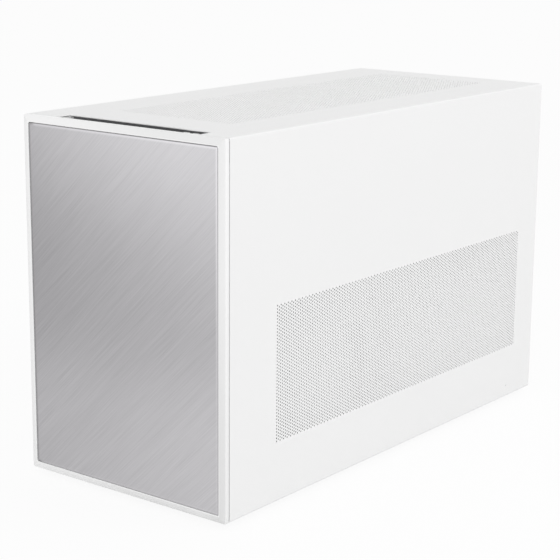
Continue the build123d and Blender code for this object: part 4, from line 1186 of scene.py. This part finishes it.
def stacked(rings: Sequence[Sequence[tuple[float, float, float]]], name: str) -> bpy.types.Mesh:
    """A closed shape from rings of points with equal counts, bottom ring first.

    Args:
        rings: rings of points, each counter-clockwise from above.
        name: the mesh's name.

    Returns:
        The mesh, with flat caps on the first and the last ring.
    """
    form = bmesh.new()
    rows = [[form.verts.new(Vector(point) * MM) for point in ring] for ring in rings]
    count = len(rows[0])
    form.faces.new(list(reversed(rows[0])))
    for low, high in zip(rows, rows[1:]):
        for n in range(count):
            form.faces.new((low[n], low[(n + 1) % count], high[(n + 1) % count], high[n]))
    form.faces.new(rows[-1])
    return meshed(form, name)


def ring(radius: float, height: float, count: int = 12, start: float = -15.0) -> list[tuple[float, float, float]]:
    """One level ring.

    Args:
        radius: its radius, in millimetres.
        height: its height, in millimetres.
        count: how many points it has.
        start: angle of its first point, in degrees.

    Returns:
        Its points, counter-clockwise from above.
    """
    angles = [math.radians(start + 360 * n / count) for n in range(count)]
    return [(radius * math.cos(a), radius * math.sin(a), height) for a in angles]


def taken(piece: bpy.types.Object) -> bpy.types.Mesh:
    """Takes the mesh off a piece that is only a step on the way, and drops the piece.

    Args:
        piece: the piece.

    Returns:
        Its mesh.
    """
    mesh = piece.data
    bpy.data.objects.remove(piece)
    return mesh


def boxes(name: str, pairs: Iterable[tuple[Spot, Spot]], edge: float = 0.0) -> bpy.types.Object:
    """A piece of plain boxes.

    Args:
        name: the new piece's name.
        pairs: low and high corner of each box, in millimetres.
        edge: rounding of the edges, in millimetres.

    Returns:
        The new piece.
    """
    form = bmesh.new()
    for low, high in pairs:
        middle = (Vector(low) + Vector(high)) / 2 * MM
        size = (Vector(high) - Vector(low)) * MM
        bmesh.ops.create_cube(form, size=1.0, matrix=Matrix.Translation(middle) @ Matrix.Diagonal((*size, 1.0)))
    if edge:
        bmesh.ops.bevel(
            form, geom=list(form.edges), offset=edge * MM, segments=2, affect="EDGES", profile=0.5, clamp_overlap=True
        )
    return new_piece(name, meshed(form, name))


# ---------------------------------------------------------------- the punched cover


@dataclass(frozen=True)
class Side:
    """Where a punched field lies: its middle on the outer face and its three directions."""

    node: str
    middle: Vector
    along: Vector
    across: Vector
    out: Vector
    rows: int

    def place(self) -> Matrix:
        """The matrix from the flat sheet to the field's place."""
        turned = Matrix((self.along, self.across, self.out)).transposed()
        return Matrix.Translation(self.middle) @ turned.to_4x4()


@dataclass
class PunchedFields:
    """The three finely punched fields of the cover."""

    columns: int = 164
    side_rows: int = 43
    top_rows: int = 46
    side_hole: float = 0.83 * MM
    top_hole: float = 0.74 * MM
    break_out: float = 0.22 * MM
    straight: float = 0.4 * MM
    thickness: float = 0.8 * MM
    pieces_per_field: int = 2

    def sides(self) -> list[Side]:
        """Reads the places of the three fields from their solids.

        Returns:
            The fields.
        """
        found = []
        for node, rows, axis in (
            ("cover_right_field", self.side_rows, Vector((1, 0, 0))),
            ("cover_left_field", self.side_rows, Vector((-1, 0, 0))),
            ("cover_top_field", self.top_rows, Vector((0, 0, 1))),
        ):
            low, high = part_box(node)
            middle = (low + high) / 2 + axis * self.thickness / 2
            along = Vector((0, 1, 0))
            found.append(Side(node, middle, along, axis.cross(along), axis, rows))
        return found

    def holed_cell(self, along: float, across: float, hole: float) -> bpy.types.Mesh:
        """One rectangle of sheet with a six-sided hole, which breaks out wider behind as punched holes do.

        Args:
            along: the cell's length.
            across: the cell's width.
            hole: the hole's reach from its middle to a corner.

        Returns:
            The mesh, with its outer face at height 0.
        """
        form = bmesh.new()
        corners = [(along / 2, 0), (along / 2, across / 2), (-along / 2, across / 2), (-along / 2, 0),
                   (-along / 2, -across / 2), (along / 2, -across / 2)]
        top, low = ([form.verts.new((*c, height)) for c in corners] for height in (0.0, -self.thickness))
        rims = [
            [form.verts.new(point) for point in ring(radius, height, 6, 0.0)]
            for radius, height in (
                (hole, 0.0), (hole, -self.straight), (hole + self.break_out, -self.thickness)
            )
        ]
        for n in range(6):
            m = (n + 1) % 6
            form.faces.new((top[n], top[m], rims[0][m], rims[0][n]))
            form.faces.new((low[m], low[n], rims[2][n], rims[2][m]))
            for over, under in zip(rims, rims[1:]):
                form.faces.new((over[n], over[m], under[m], under[n]))
        return meshed(form, "holed cell")

    def close_rim(self, mesh: bpy.types.Mesh) -> None:
        """Merges the cells and walls the open border of the sheet.

        Args:
            mesh: the sheet.
        """
        half = -self.thickness / 2
        with edited(mesh) as form:
            bmesh.ops.remove_doubles(form, verts=form.verts, dist=MERGE)
            below = {(round(v.co.x, 6), round(v.co.y, 6)): v for v in form.verts if v.co.z < half}
            for edge in [e for e in form.edges if len(e.link_faces) == 1]:
                if min(v.co.z for v in edge.verts) < half:
                    continue
                loop = edge.link_loops[0]
                start, end = loop.vert, loop.link_loop_next.vert
                under = [below.get((round(v.co.x, 6), round(v.co.y, 6))) for v in (start, end)]
                if None not in under:
                    form.faces.new((end, start, under[0], under[1]))

    def build(self) -> None:
        """Builds the punched sheets."""
        for side in self.sides():
            low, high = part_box(side.node)
            size = high - low
            length, width = abs(size.dot(side.along)), abs(size.dot(side.across))
            along, across = length / self.columns, width / side.rows
            count = self.columns // self.pieces_per_field
            hole = self.top_hole if side.out.z else self.side_hole
            for part in range(self.pieces_per_field):
                piece = LATTICE.grow(
                    f"{side.node}_punched_{part + 1}", self.holed_cell(along, across, hole), "punched_coat",
                    Columns=count, Rows=side.rows, Along=along, Across=across, Thickness=self.thickness,
                )
                self.close_rim(piece.data)
                shift = ((part + 0.5) / self.pieces_per_field - 0.5) * length
                piece.data.transform(side.place() @ Matrix.Translation((shift, 0, 0)))
                settle(piece, Bodies.COVER, "white_powder_coat", [side.node])


@dataclass
class BentCover:
    """The cover's bent sheet: hems, sides with rounded bends, roof with its notch, and rear flanges."""

    sheet: float = 0.8 * MM
    bend: float = 1.6 * MM
    hem: float = 8.0 * MM
    notch_low_x: float = -70.0 * MM
    notch_high_x: float = 74.5 * MM
    notch_depth: float = 13.2 * MM
    flange_width: float = 15.0 * MM
    flange_recess: float = 3.0 * MM
    flange_low_z: float = 6.2 * MM
    steps: int = 6
    edge: float = 0.22 * MM
    dot: float = 0.75 * MM
    dot_place: tuple[float, float] = (183.2 * MM, 15.8 * MM)

    def arc(self, centre: tuple[float, float], start: float) -> list[tuple[float, float]]:
        """A quarter bend.

        Args:
            centre: its middle, in X and Z.
            start: its first angle, in degrees; it runs clockwise.

        Returns:
            Points in X and Z.
        """
        return [
            (
                centre[0] + self.bend * math.cos(math.radians(start - 90 * n / self.steps)),
                centre[1] + self.bend * math.sin(math.radians(start - 90 * n / self.steps)),
            )
            for n in range(self.steps + 1)
        ]

    def section(
        self, half: float, base: float, top: float, stops: dict[str, list[float]]
    ) -> list[tuple[float, float]]:
        """Outer line of the sheet across the case, from the left hem over the roof to the right hem.

        Args:
            half: half the width.
            base: height of the lower edge.
            top: height of the roof.
            stops: extra places where the line is divided, on the sides ("z") and on the roof ("x").

        Returns:
            Points in X and Z.
        """
        bend = self.bend
        line = [(-half + self.hem, base)] + self.arc((-half + bend, base + bend), 270)
        line += [(-half, z) for z in sorted(stops["z"])]
        line += self.arc((-half + bend, top - bend), 180)
        line += [(x, top) for x in sorted(stops["x"])]
        line += self.arc((half - bend, top - bend), 90)
        line += [(half, z) for z in sorted(stops["z"], reverse=True)]
        line += self.arc((half - bend, base + bend), 0) + [(half - self.hem, base)]
        return line

    def build(self) -> None:
        """Builds the sheet, its flanges and the small rivet near the rear."""
        low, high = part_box("cover_shell")
        side_low, side_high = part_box("cover_right_field")
        top_low, top_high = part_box("cover_top_field")
        notch_y = low.y + self.notch_depth
        line = self.section(
            high.x, low.z, high.z,
            {"z": [side_low.z, side_high.z], "x": [self.notch_low_x, self.notch_high_x, top_low.x, top_high.x]},
        )
        stations = [low.y, notch_y, side_low.y, side_high.y, high.y]
        holes = (
            (self.notch_low_x, self.notch_high_x, high.z - MM, high.z + MM, low.y, notch_y),
            (top_low.x, top_high.x, high.z - MM, high.z + MM, side_low.y, side_high.y),
            (high.x - MM, high.x + MM, side_low.z, side_high.z, side_low.y, side_high.y),
            (low.x - MM, low.x + MM, side_low.z, side_high.z, side_low.y, side_high.y),
        )
        form = bmesh.new()
        grid = [[form.verts.new((x, y, z)) for x, z in line] for y in stations]
        for row in range(len(stations) - 1):
            for n in range(len(line) - 1):
                corners = (grid[row][n], grid[row][n + 1], grid[row + 1][n + 1], grid[row + 1][n])
                spot = sum((v.co for v in corners), Vector()) / 4
                if not any(a < spot.x < b and c < spot.z < d and e < spot.y < f for a, b, c, d, e, f in holes):
                    form.faces.new(corners)
        bmesh.ops.delete(form, geom=[v for v in form.verts if not v.link_faces], context="VERTS")
        bmesh.ops.recalc_face_normals(form, faces=form.faces)
        roof = max(form.faces, key=lambda face: face.calc_center_median().z)
        if roof.normal.z < 0:
            bmesh.ops.reverse_faces(form, faces=form.faces)
        piece = new_piece("cover_sheet", meshed(form, "cover sheet"))
        wall = piece.modifiers.new("sheet", "SOLIDIFY")
        wall.thickness = self.sheet
        wall.offset = -1.0
        wall.use_even_offset = True
        applied(piece)
        self.add_flanges(piece.data, high)
        self.soften(piece, (low.y, high.y, notch_y))
        settle(piece, Bodies.COVER, "white_powder_coat", ["cover_shell"])
        self.rivet(high)

    def add_flanges(self, mesh: bpy.types.Mesh, high: Vector) -> None:
        """Adds the two strips that the thumbscrews hold.

        Args:
            mesh: the cover's sheet.
            high: the cover's high corner.
        """
        width, height = self.flange_width, high.z - self.bend - self.flange_low_z
        size = Matrix.Diagonal((width, self.sheet, height, 1.0))
        with edited(mesh) as form:
            for side in (-1, 1):
                middle = (
                    side * (high.x - self.sheet - width / 2),
                    high.y - self.flange_recess - self.sheet / 2,
                    self.flange_low_z + height / 2,
                )
                bmesh.ops.create_cube(form, size=1.0, matrix=Matrix.Translation(middle) @ size)

    def is_cut(self, edge: bmesh.types.BMEdge, ends: Sequence[float]) -> bool:
        """Tells whether an edge belongs to a cut of the sheet.

        Args:
            edge: the edge.
            ends: the sheet's front, its rear and the notch's rear, along Y.

        Returns:
            True on the cuts at these places and along the notch's sides.
        """
        spots = [v.co for v in edge.verts]
        at_end = any(all(abs(c.y - y) < CLOSE for c in spots) for y in ends)
        in_notch = all(
            c.y < ends[-1] + CLOSE and min(abs(c.x - self.notch_low_x), abs(c.x - self.notch_high_x)) < CLOSE
            for c in spots
        )
        return (at_end or in_notch) and len(edge.link_faces) == 2 and edge.calc_face_angle() > 0.5

    def soften(self, piece: bpy.types.Object, ends: Sequence[float]) -> None:
        """Rounds the sheet's cut edges at the front, at the rear and round the notch.

        Args:
            piece: the cover's sheet.
            ends: as for is_cut.
        """
        with edited(piece.data) as form:
            weight = form.edges.layers.float.new("bevel_weight_edge")
            for face in form.faces:
                face.smooth = True
            for edge in form.edges:
                if self.is_cut(edge, ends):
                    edge[weight] = 1.0
        bevel = piece.modifiers.new("edges", "BEVEL")
        bevel.width = self.edge
        bevel.segments = 2
        bevel.limit_method = "WEIGHT"
        applied(piece)
        piece.data.set_sharp_from_angle(angle=math.radians(40))
        normals = piece.modifiers.new("normals", "WEIGHTED_NORMAL")
        normals.keep_sharp = True
        applied(piece)

    def rivet(self, high: Vector) -> None:
        """Adds the small round rivet near the rear lower corner of the right side.

        Args:
            high: the cover's high corner.
        """
        form = bmesh.new()
        bmesh.ops.create_cone(
            form, cap_ends=True, segments=20, radius1=self.dot, radius2=self.dot * 0.8, depth=0.3 * MM,
            matrix=Matrix.Translation((high.x, *self.dot_place)) @ Matrix.Rotation(math.radians(90), 4, "Y"),
        )
        settle(new_piece("cover_rivet", meshed(form, "cover rivet")), Bodies.COVER, "plated_steel")


# ---------------------------------------------------------------- front


@dataclass
class Front:
    """Bezel and brushed plate."""

    plate_edge: float = 1.1 * MM
    bezel_edge: float = 0.35 * MM

    def build(self) -> None:
        """Builds the plate and the bezel with rounded edges."""
        plate = softened("front_plate", self.plate_edge, 4, 20.0)
        settle(plate, Bodies.BEZEL, "brushed_aluminium", ["front_plate"])
        bezel = softened("front_bezel", self.bezel_edge, 3, 20.0)
        settle(bezel, Bodies.BEZEL, "white_bezel", ["front_bezel"])


# ---------------------------------------------------------------- fasteners and small parts


@dataclass
class PanScrew:
    """A pan-head screw with a cross recess."""

    radius: float = 3.1
    height: float = 1.7
    arm: float = 1.7
    arm_half: float = 0.42
    depth: float = 1.0

    def cross(self, height: float) -> list[tuple[float, float, float]]:
        """Outline of the recess.

        Args:
            height: where it lies, in millimetres.

        Returns:
            Its twelve points.
        """
        a, b = self.arm_half, self.arm
        arm = [(b, -a), (b, a), (a, a)]
        turns = ((1, 0), (0, 1), (-1, 0), (0, -1))
        return [(x * cos - y * sin, x * sin + y * cos, height) for cos, sin in turns for x, y in arm]

    def mesh(self) -> bpy.types.Mesh:
        """Shapes the head.

        Returns:
            The head, foot at the origin.
        """
        depth = min(self.depth, self.height * 0.7)
        return stacked(
            [
                ring(self.radius, 0.0), ring(self.radius, self.height * 0.4),
                ring(self.radius * 0.86, self.height * 0.8), ring(self.radius * 0.66, self.height),
                self.cross(self.height), self.cross(self.height - depth),
            ],
            "pan screw",
        )


@dataclass
class KnurledHead:
    """A knurled thumbscrew head on a short neck, with a shallow dish in its top."""

    radius: float = 5.4
    groove: float = 0.35
    height: float = 7.0
    teeth: int = 18

    def toothed(self, height: float) -> list[tuple[float, float, float]]:
        """A ring with teeth.

        Args:
            height: where it lies, in millimetres.

        Returns:
            Its points.
        """
        points = []
        for n in range(2 * self.teeth):
            radius = self.radius - (self.groove if n % 2 else 0.0)
            angle = math.pi * n / self.teeth
            points.append((radius * math.cos(angle), radius * math.sin(angle), height))
        return points

    def mesh(self) -> bpy.types.Mesh:
        """Shapes the head.

        Returns:
            The head, foot at the origin.
        """
        neck = [(0.8, 0.0), (0.8, 0.9)]
        top = [(0.8, self.height), (2.2, self.height), (2.6, self.height - 0.5)]
        foot, crown = (
            [ring(self.radius - inset, height, 2 * self.teeth, 0.0) for inset, height in part] for part in (neck, top)
        )
        return stacked([*foot, self.toothed(1.2), self.toothed(self.height - 0.6), *crown], "knurled head")


@dataclass
class Fasteners:
    """Screws and rivets of the chassis, the fans, the card slots, the supply and the board."""

    fan_hole: float = 52.5
    slots: tuple[float, ...] = (107.5, 87.18, 66.86, 46.54)
    slot_screw_y: float = 216.9
    disk_x: float = 67.0
    disk_heights: tuple[float, float] = (34.0, 110.0)

    def around(self, node: str) -> list[Spot]:
        """Four places about the middle of a square part, in its own plane.

        Args:
            node: the part's solid.

        Returns:
            The places of its screws.
        """
        low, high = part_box(node)
        middle = (low + high) / 2 / MM
        size = high - low
        flat = min(range(3), key=lambda axis: size[axis])
        first, second = [axis for axis in range(3) if axis != flat]
        places = []
        for a in (-self.fan_hole, self.fan_hole):
            for b in (-self.fan_hole, self.fan_hole):
                place = Vector(middle)
                place[first] += a
                place[second] += b
                places.append(tuple(place))
        return places

    def screws(self) -> None:
        """Builds the pan-head screws."""
        screw, flat_screw = PanScrew(), PanScrew(height=0.75, depth=0.5)
        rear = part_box("chassis_rear_panel")[1].y / MM
        slot_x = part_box("slot_covers")[0].x / MM
        guard_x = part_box("supply_fan_guard")[0].x / MM
        supply_low, supply_high = span("supply_case")
        board_low, board_high = span("motherboard")
        disk_low, disk_high = span("disk_bracket")
        plate_y = supply_low.y - 1.2
        columns = (board_high.y - 10.2, board_high.y - 165.1, board_low.y + 6.5)
        rows = (board_low.z + 6.5, 110.2, board_high.z - 6.5)
        disk_z = [disk_low.z + height for height in self.disk_heights]
        sets: tuple[tuple[str, PanScrew, list[Spot], Facing], ...] = (
            ("fan_screws", screw, [(x, rear, z) for x, _, z in self.around("rear_fan_frame")], Facing.BACK),
            ("slot_screws", screw, [(slot_x, self.slot_screw_y, z) for z in self.slots], Facing.LEFT),
            ("supply_screws", screw,
             [(x, plate_y, supply_high.z - 6) for x in (supply_low.x + 6, supply_high.x - 6)], Facing.FRONT),
            ("guard_screws", flat_screw,
             [(guard_x, y, z) for _, y, z in self.around("supply_fan_guard")], Facing.LEFT),
            ("board_screws", screw, [(board_low.x, y, z) for y in columns for z in rows], Facing.LEFT),
            ("disk_screws_front", screw, [(self.disk_x, disk_low.y, z) for z in disk_z], Facing.FRONT),
            ("disk_screws_rear", screw, [(self.disk_x, disk_high.y, z) for z in disk_z], Facing.BACK),
        )
        for name, shape, spots, facing in sets:
            copies(name, shape.mesh(), spots, facing, "plated_steel")

    def build(self) -> None:
        """Builds the screws, the rear panel's rivets and the cover's thumbscrews."""
        self.screws()
        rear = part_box("chassis_rear_panel")[1].y / MM
        rivet = stacked([ring(2.0, 0.0), ring(1.9, 0.35), ring(1.1, 0.7)], "rivet")
        rivets = [(x, rear, z) for x in (-82.0, 82.0) for z in (16.0, 150.0, 285.0)]
        copies("panel_rivets", rivet, rivets, Facing.BACK, "plated_steel")
        low, high = span("cover_thumbscrews")
        reach = (high.x - low.x) / 2 - 5.5
        spots = [(side * reach, low.y, z) for side in (-1, 1) for z in (39.0, 262.0)]
        copies(
            "knurled_thumbscrews", KnurledHead().mesh(), spots, Facing.BACK, "nickel",
            Bodies.COVER, ["cover_thumbscrews"],
        )


class Port(Enum):
    """Kinds of port block behind the port shield."""

    USB = "usb"
    NET = "net"
    ROUND = "round"
    AUDIO = "audio"


@dataclass
class RearPorts:
    """Mouths, tongues and jacks on the blocks behind the port shield."""

    face: float = 222.0
    proud: float = 0.35
    # share of the shield's height, reach from the board, kind
    blocks: tuple[tuple[float, float, Port], ...] = (
        (0.806, 34.0, Port.USB), (0.652, 32.0, Port.USB), (0.517, 28.0, Port.USB), (0.394, 28.0, Port.NET),
        (0.265, 14.0, Port.ROUND), (0.113, 30.0, Port.AUDIO),
    )

    def build(self) -> None:
        """Builds them by rows, from the top down."""
        low, high = span("io_shield")
        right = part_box("motherboard")[0].x / MM
        mouths, tongues, jacks = [], [], []
        y_low, y_high = self.face - 0.5, self.face + self.proud

        def mouth(x: float, z: float, wide: float, tall: float, tongue: float = 0.0) -> None:
            """Adds one mouth and its tongue.

            Args:
                x: its middle along X.
                z: its middle along Z.
                wide: its width.
                tall: its height.
                tongue: thickness of its tongue, 0 for none.
            """
            mouths.append(((x - wide / 2, y_low, z - tall / 2), (x + wide / 2, y_high, z + tall / 2)))
            if tongue:
                tongues.append(
                    ((x - wide / 2 + 1.2, y_low, z + 0.3), (x + wide / 2 - 1.2, y_high + 0.12, z + 0.3 + tongue))
                )

        for middle, reach, kind in self.blocks:
            x, z = right - reach / 2, low.z + middle * (high.z - low.z)
            if kind is Port.USB:
                for shift in (-3.7, 3.7):
                    mouth(x, z + shift, min(reach - 8, 14.0), 5.2, 1.7)
            elif kind is Port.NET:
                mouth(x, z, 12.0, 9.0)
                mouth(x, z + 5.2, 4.2, 1.6)
            elif kind is Port.ROUND:
                jacks.append((x, y_low, z))
            else:
                jacks += [(x + a, y_low, z + b) for a in (-6.5, 6.5) for b in (-8.5, 0.0, 8.5)]
        settle(boxes("port_mouths", mouths), Bodies.CHASSIS, "black_plastic")
        settle(boxes("port_tongues", tongues), Bodies.CHASSIS, "nickel")
        rims = ((3.1, 0.0), (3.1, 0.9), (2.7, 1.1), (1.8, 1.1), (1.7, 0.2))
        jack = stacked([ring(radius, height, 20) for radius, height in rims], "jack")
        copies("port_jacks", jack, jacks, Facing.BACK, "dark_plastic")


@dataclass
class BoardParts:
    """Capacitors, chips and pin headers that stand on the motherboard."""

    # Y, Z, width and height of each chip
    chips: tuple[tuple[float, float, float, float], ...] = (
        (150, 140, 7, 7), (172, 128, 9, 9), (196, 134, 6, 6), (120, 126, 5, 8), (60, 122, 8, 8), (30, 100, 12, 12),
        (8, 128, 5, 5), (20, 66, 7, 7), (186, 78, 9, 9), (200, 58, 6, 10), (92, 36, 7, 7), (150, 34, 10, 10),
    )
    chip_height: float = 1.3
    pin_step: float = 2.54

    def build(self) -> None:
        """Builds them."""
        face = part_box("motherboard")[0].x / MM
        low, high = span("processor_socket")
        rims = ((3.0, 0.0), (3.0, 0.6), (2.8, 0.9), (3.0, 1.2), (3.0, 7.2), (2.7, 7.6))
        can = stacked([ring(radius, height, 14) for radius, height in rims], "capacitor")
        cans = [(face, low.y - 6 - 8 * (n % 2), low.z - 2 + 8.5 * n) for n in range(6)]
        cans += [(face, high.y + 4 + 7.5 * n, high.z + 12) for n in range(5)]
        cans += [(face, 14 + 9 * n, 36.5) for n in range(4)]
        copies("board_capacitors", can, cans, Facing.LEFT, "drive_metal")
        chips = [
            ((face - self.chip_height, y - wide / 2, z - tall / 2), (face, y + wide / 2, z + tall / 2))
            for y, z, wide, tall in self.chips
        ]
        settle(boxes("board_chips", chips, 0.15), Bodies.CHASSIS, "dark_plastic")
        step = self.pin_step * MM
        pin = taken(boxes("header_pin", [((face - 7.5, 60.0, 33.0), (face, 60.64, 33.64))]))
        line = taken(ROW.grow("header_line", pin, "nickel", Count=10, Step=(0.0, step, 0.0)))
        settle(ROW.grow("header_pins", line, "nickel", Count=2, Step=(0.0, 0.0, step)), Bodies.CHASSIS, "nickel")
        base = boxes("header_base", [((face - 2.5, 58.8, 31.9), (face, 84.9, 37.3))])
        settle(base, Bodies.CHASSIS, "black_plastic")


@dataclass
class CoolerPipes:
    """Ends of the heat pipes, which stand out of the fin stack on the left."""

    radius: float = 3.0
    reach: float = 3.5

    def build(self) -> None:
        """Builds the pipe ends."""
        low, high = span("cooler_sink")
        fan_low, fan_high = span("cooler_fan_frame")
        y, z = (fan_high.y + high.y) / 2, (fan_low.z + fan_high.z) / 2
        rims = ((1.0, -1.0), (1.0, self.reach * 0.5), (0.86, self.reach * 0.8), (0.5, self.reach))
        cap = stacked([ring(self.radius * share, height, 16) for share, height in rims], "pipe end")
        spots = [(low.x, y + a, z + b) for a in (-9.0, 9.0) for b in (-36.0, -12.0, 12.0, 36.0)]
        copies("pipe_ends", cap, spots, Facing.LEFT, "nickel")


# ---------------------------------------------------------------- rounded copies of the solids


@dataclass(frozen=True)
class Softening:
    """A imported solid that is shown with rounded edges, in its own finish."""

    node: str
    body: Bodies
    edge: float

    def build(self) -> None:
        """Builds the rounded copy."""
        piece = softened(self.node, self.edge * MM, 2)
        wardrobe.dress(piece, wardrobe.finish_of(self.node))
        settle(piece, self.body, wardrobe.slot_of(self.node), [self.node])


SOFTENED: tuple[Softening, ...] = (
    Softening("power_button", Bodies.BUTTON, 0.3),
    Softening("dust_filter_frame", Bodies.FILTER, 0.4),
    Softening("bezel_carrier", Bodies.BEZEL, 0.3),
    *(
        Softening(node, Bodies.CHASSIS, edge)
        for node, edge in (
            ("feet", 0.8), ("supply_case", 0.4), ("graphics_shroud", 0.6), ("graphics_backplate", 0.3),
            ("rear_fan_frame", 0.5), ("cooler_fan_frame", 0.5), ("rear_inlet", 0.3), ("supply_inlet", 0.3),
            ("lead_plug", 0.8), ("main_plug", 0.4), ("disk_drive", 0.6), ("solid_state_drive", 0.4),
            ("memory_modules", 0.3),
        )
    ),
)


# ---------------------------------------------------------------- cord


@dataclass
class MainsLead:
    """The lead from the rear inlet under the supply to the supply's own inlet."""

    radius: float = 3.4
    route: tuple[Spot, ...] = (
        (-66.0, -195.25, 99.0), (-66.0, -195.25, 10.6), (-68.0, 34.2, 10.6), (-68.0, 134.2, 36.0),
        (-68.0, 199.2, 36.0),
    )

    def build(self) -> None:
        curve = bpy.data.curves.new("mains_lead_cord", "CURVE")
        curve.dimensions = "3D"
        curve.bevel_depth = self.radius * MM
        curve.bevel_resolution = 4
        curve.resolution_u = 16
        curve.use_fill_caps = True
        spline = curve.splines.new("NURBS")
        spline.points.add(len(self.route) - 1)
        for point, place in zip(spline.points, self.route):
            point.co = (*[c * MM for c in place], 1.0)
        spline.order_u = 3
        spline.use_endpoint_u = True
        piece = bpy.data.objects.new("mains_lead_cord", curve)
        bpy.context.scene.collection.objects.link(piece)
        wardrobe.dress(piece, "cord_sheath")
        settle(piece, Bodies.CHASSIS, "cord_sheath", ["mains_lead"])
        bpy.context.view_layer.update()


# ---------------------------------------------------------------- studio


@dataclass(frozen=True)
class Lamp:
    """A soft rectangular lamp that points at the object. The camera doesn't see it."""

    name: str
    place: tuple[float, float, float]
    size: tuple[float, float]
    watts: float
    aim: tuple[float, float, float] = (0.0, 0.0, 0.15)

    def hang(self) -> None:
        """Hangs the lamp."""
        light = bpy.data.lights.new(self.name, "AREA")
        light.shape = "RECTANGLE"
        light.size, light.size_y = self.size
        light.energy = self.watts
        holder = bpy.data.objects.new(self.name, light)
        holder.location = self.place
        holder.rotation_euler = (Vector(self.aim) - Vector(self.place)).to_track_quat("-Z", "Y").to_euler()
        holder.visible_camera = False
        bpy.context.scene.collection.objects.link(holder)


LAMPS: tuple[Lamp, ...] = (
    Lamp("right", (1.6, 0.6, 1.7), (1.0, 1.0), 9.6),
    Lamp("front", (1.9, -3.2, 1.25), (2.0, 1.4), 31.0),
)


@dataclass(frozen=True)
class Studio:
    """White floor, soft lamps and the camera."""

    camera_place: tuple[float, float, float] = (0.83054, -1.10763, 0.46530)
    lens: float = 104.46
    azimuth: float = 37.70
    look_down: float = 13.40
    roll: float = 0.473
    floor_half: float = 6.0
    sky_level: float = 0.74

    def seen_white(self, name: str, lit: Colour, share: float) -> bpy.types.Material:
        """Floor paint: a diffuse surface that the camera and reflections see partly as plain white.

        Args:
            name: the material's name.
            lit: colour of the lit part.
            share: how much is plain white for those rays.

        Returns:
            The material.
        """
        paint = Paint(name)
        glow = paint.node("ShaderNodeEmission", {}, {"Color": (1, 1, 1, 1), "Strength": 1.0})
        matt = paint.node("ShaderNodeBsdfDiffuse", {}, {"Color": rgb(lit)})
        mixed = paint.node("ShaderNodeMixShader", {}, [paint.direct() * share, matt, glow])
        out = paint.tree.nodes["Material Output"]
        paint.tree.links.new(mixed.socket, out.inputs["Surface"])
        return paint.material

    def floor(self) -> None:
        """Lays the floor."""
        half = self.floor_half
        mesh = bpy.data.meshes.new("studio floor")
        corners = [(-half, -half, 0), (half, -half, 0), (half, half, 0), (-half, half, 0)]
        mesh.from_pydata(corners, [], [(0, 1, 2, 3)])
        ground = new_piece("studio_floor", mesh)
        mesh.materials.append(self.seen_white("studio_floor", (0.88, 0.88, 0.88), 0.92))

    def sky(self) -> None:
        """Sets the even light from all round, and the white that the camera sees behind."""
        world = bpy.data.worlds.new("studio sky")
        bpy.context.scene.world = world
        world.use_nodes = True
        tree = Tree(world.node_tree)
        background = world.node_tree.nodes["Background"]
        tree.feed(background.inputs["Strength"], tree.direct() * (1 - self.sky_level) + self.sky_level)
        background.inputs["Color"].default_value = (1, 1, 1, 1)

    def camera(self) -> None:
        """Sets up the camera."""
        lens = bpy.data.cameras.new("camera")
        lens.lens = self.lens
        lens.sensor_width = 36.0
        holder = bpy.data.objects.new("camera", lens)
        turn, down = math.radians(self.azimuth), math.radians(self.look_down)
        ahead = Vector((-math.sin(turn) * math.cos(down), math.cos(turn) * math.cos(down), -math.sin(down)))
        level = ahead.to_track_quat("-Z", "Y").to_matrix()
        holder.matrix_world = (
            Matrix.Translation(self.camera_place)
            @ (level @ Matrix.Rotation(math.radians(self.roll), 3, "Z")).to_4x4()
        )
        bpy.context.scene.collection.objects.link(holder)
        bpy.context.scene.camera = holder

    def build(self) -> None:
        """Sets up everything that isn't part of the object."""
        bpy.context.scene.view_settings.view_transform = "Standard"
        self.floor()
        self.sky()
        for lamp in LAMPS:
            lamp.hang()
        self.camera()


def main() -> None:
    """Builds the studio and the pieces."""
    logging.basicConfig(level=logging.INFO, format="%(message)s")
    Studio().build()
    wardrobe.dress_solids()
    PunchedFields().build()
    BentCover().build()
    Front().build()
    for softening in SOFTENED:
        softening.build()
    Fasteners().build()
    RearPorts().build()
    BoardParts().build()
    CoolerPipes().build()
    MainsLead().build()


if __name__ == "__main__":
    main()
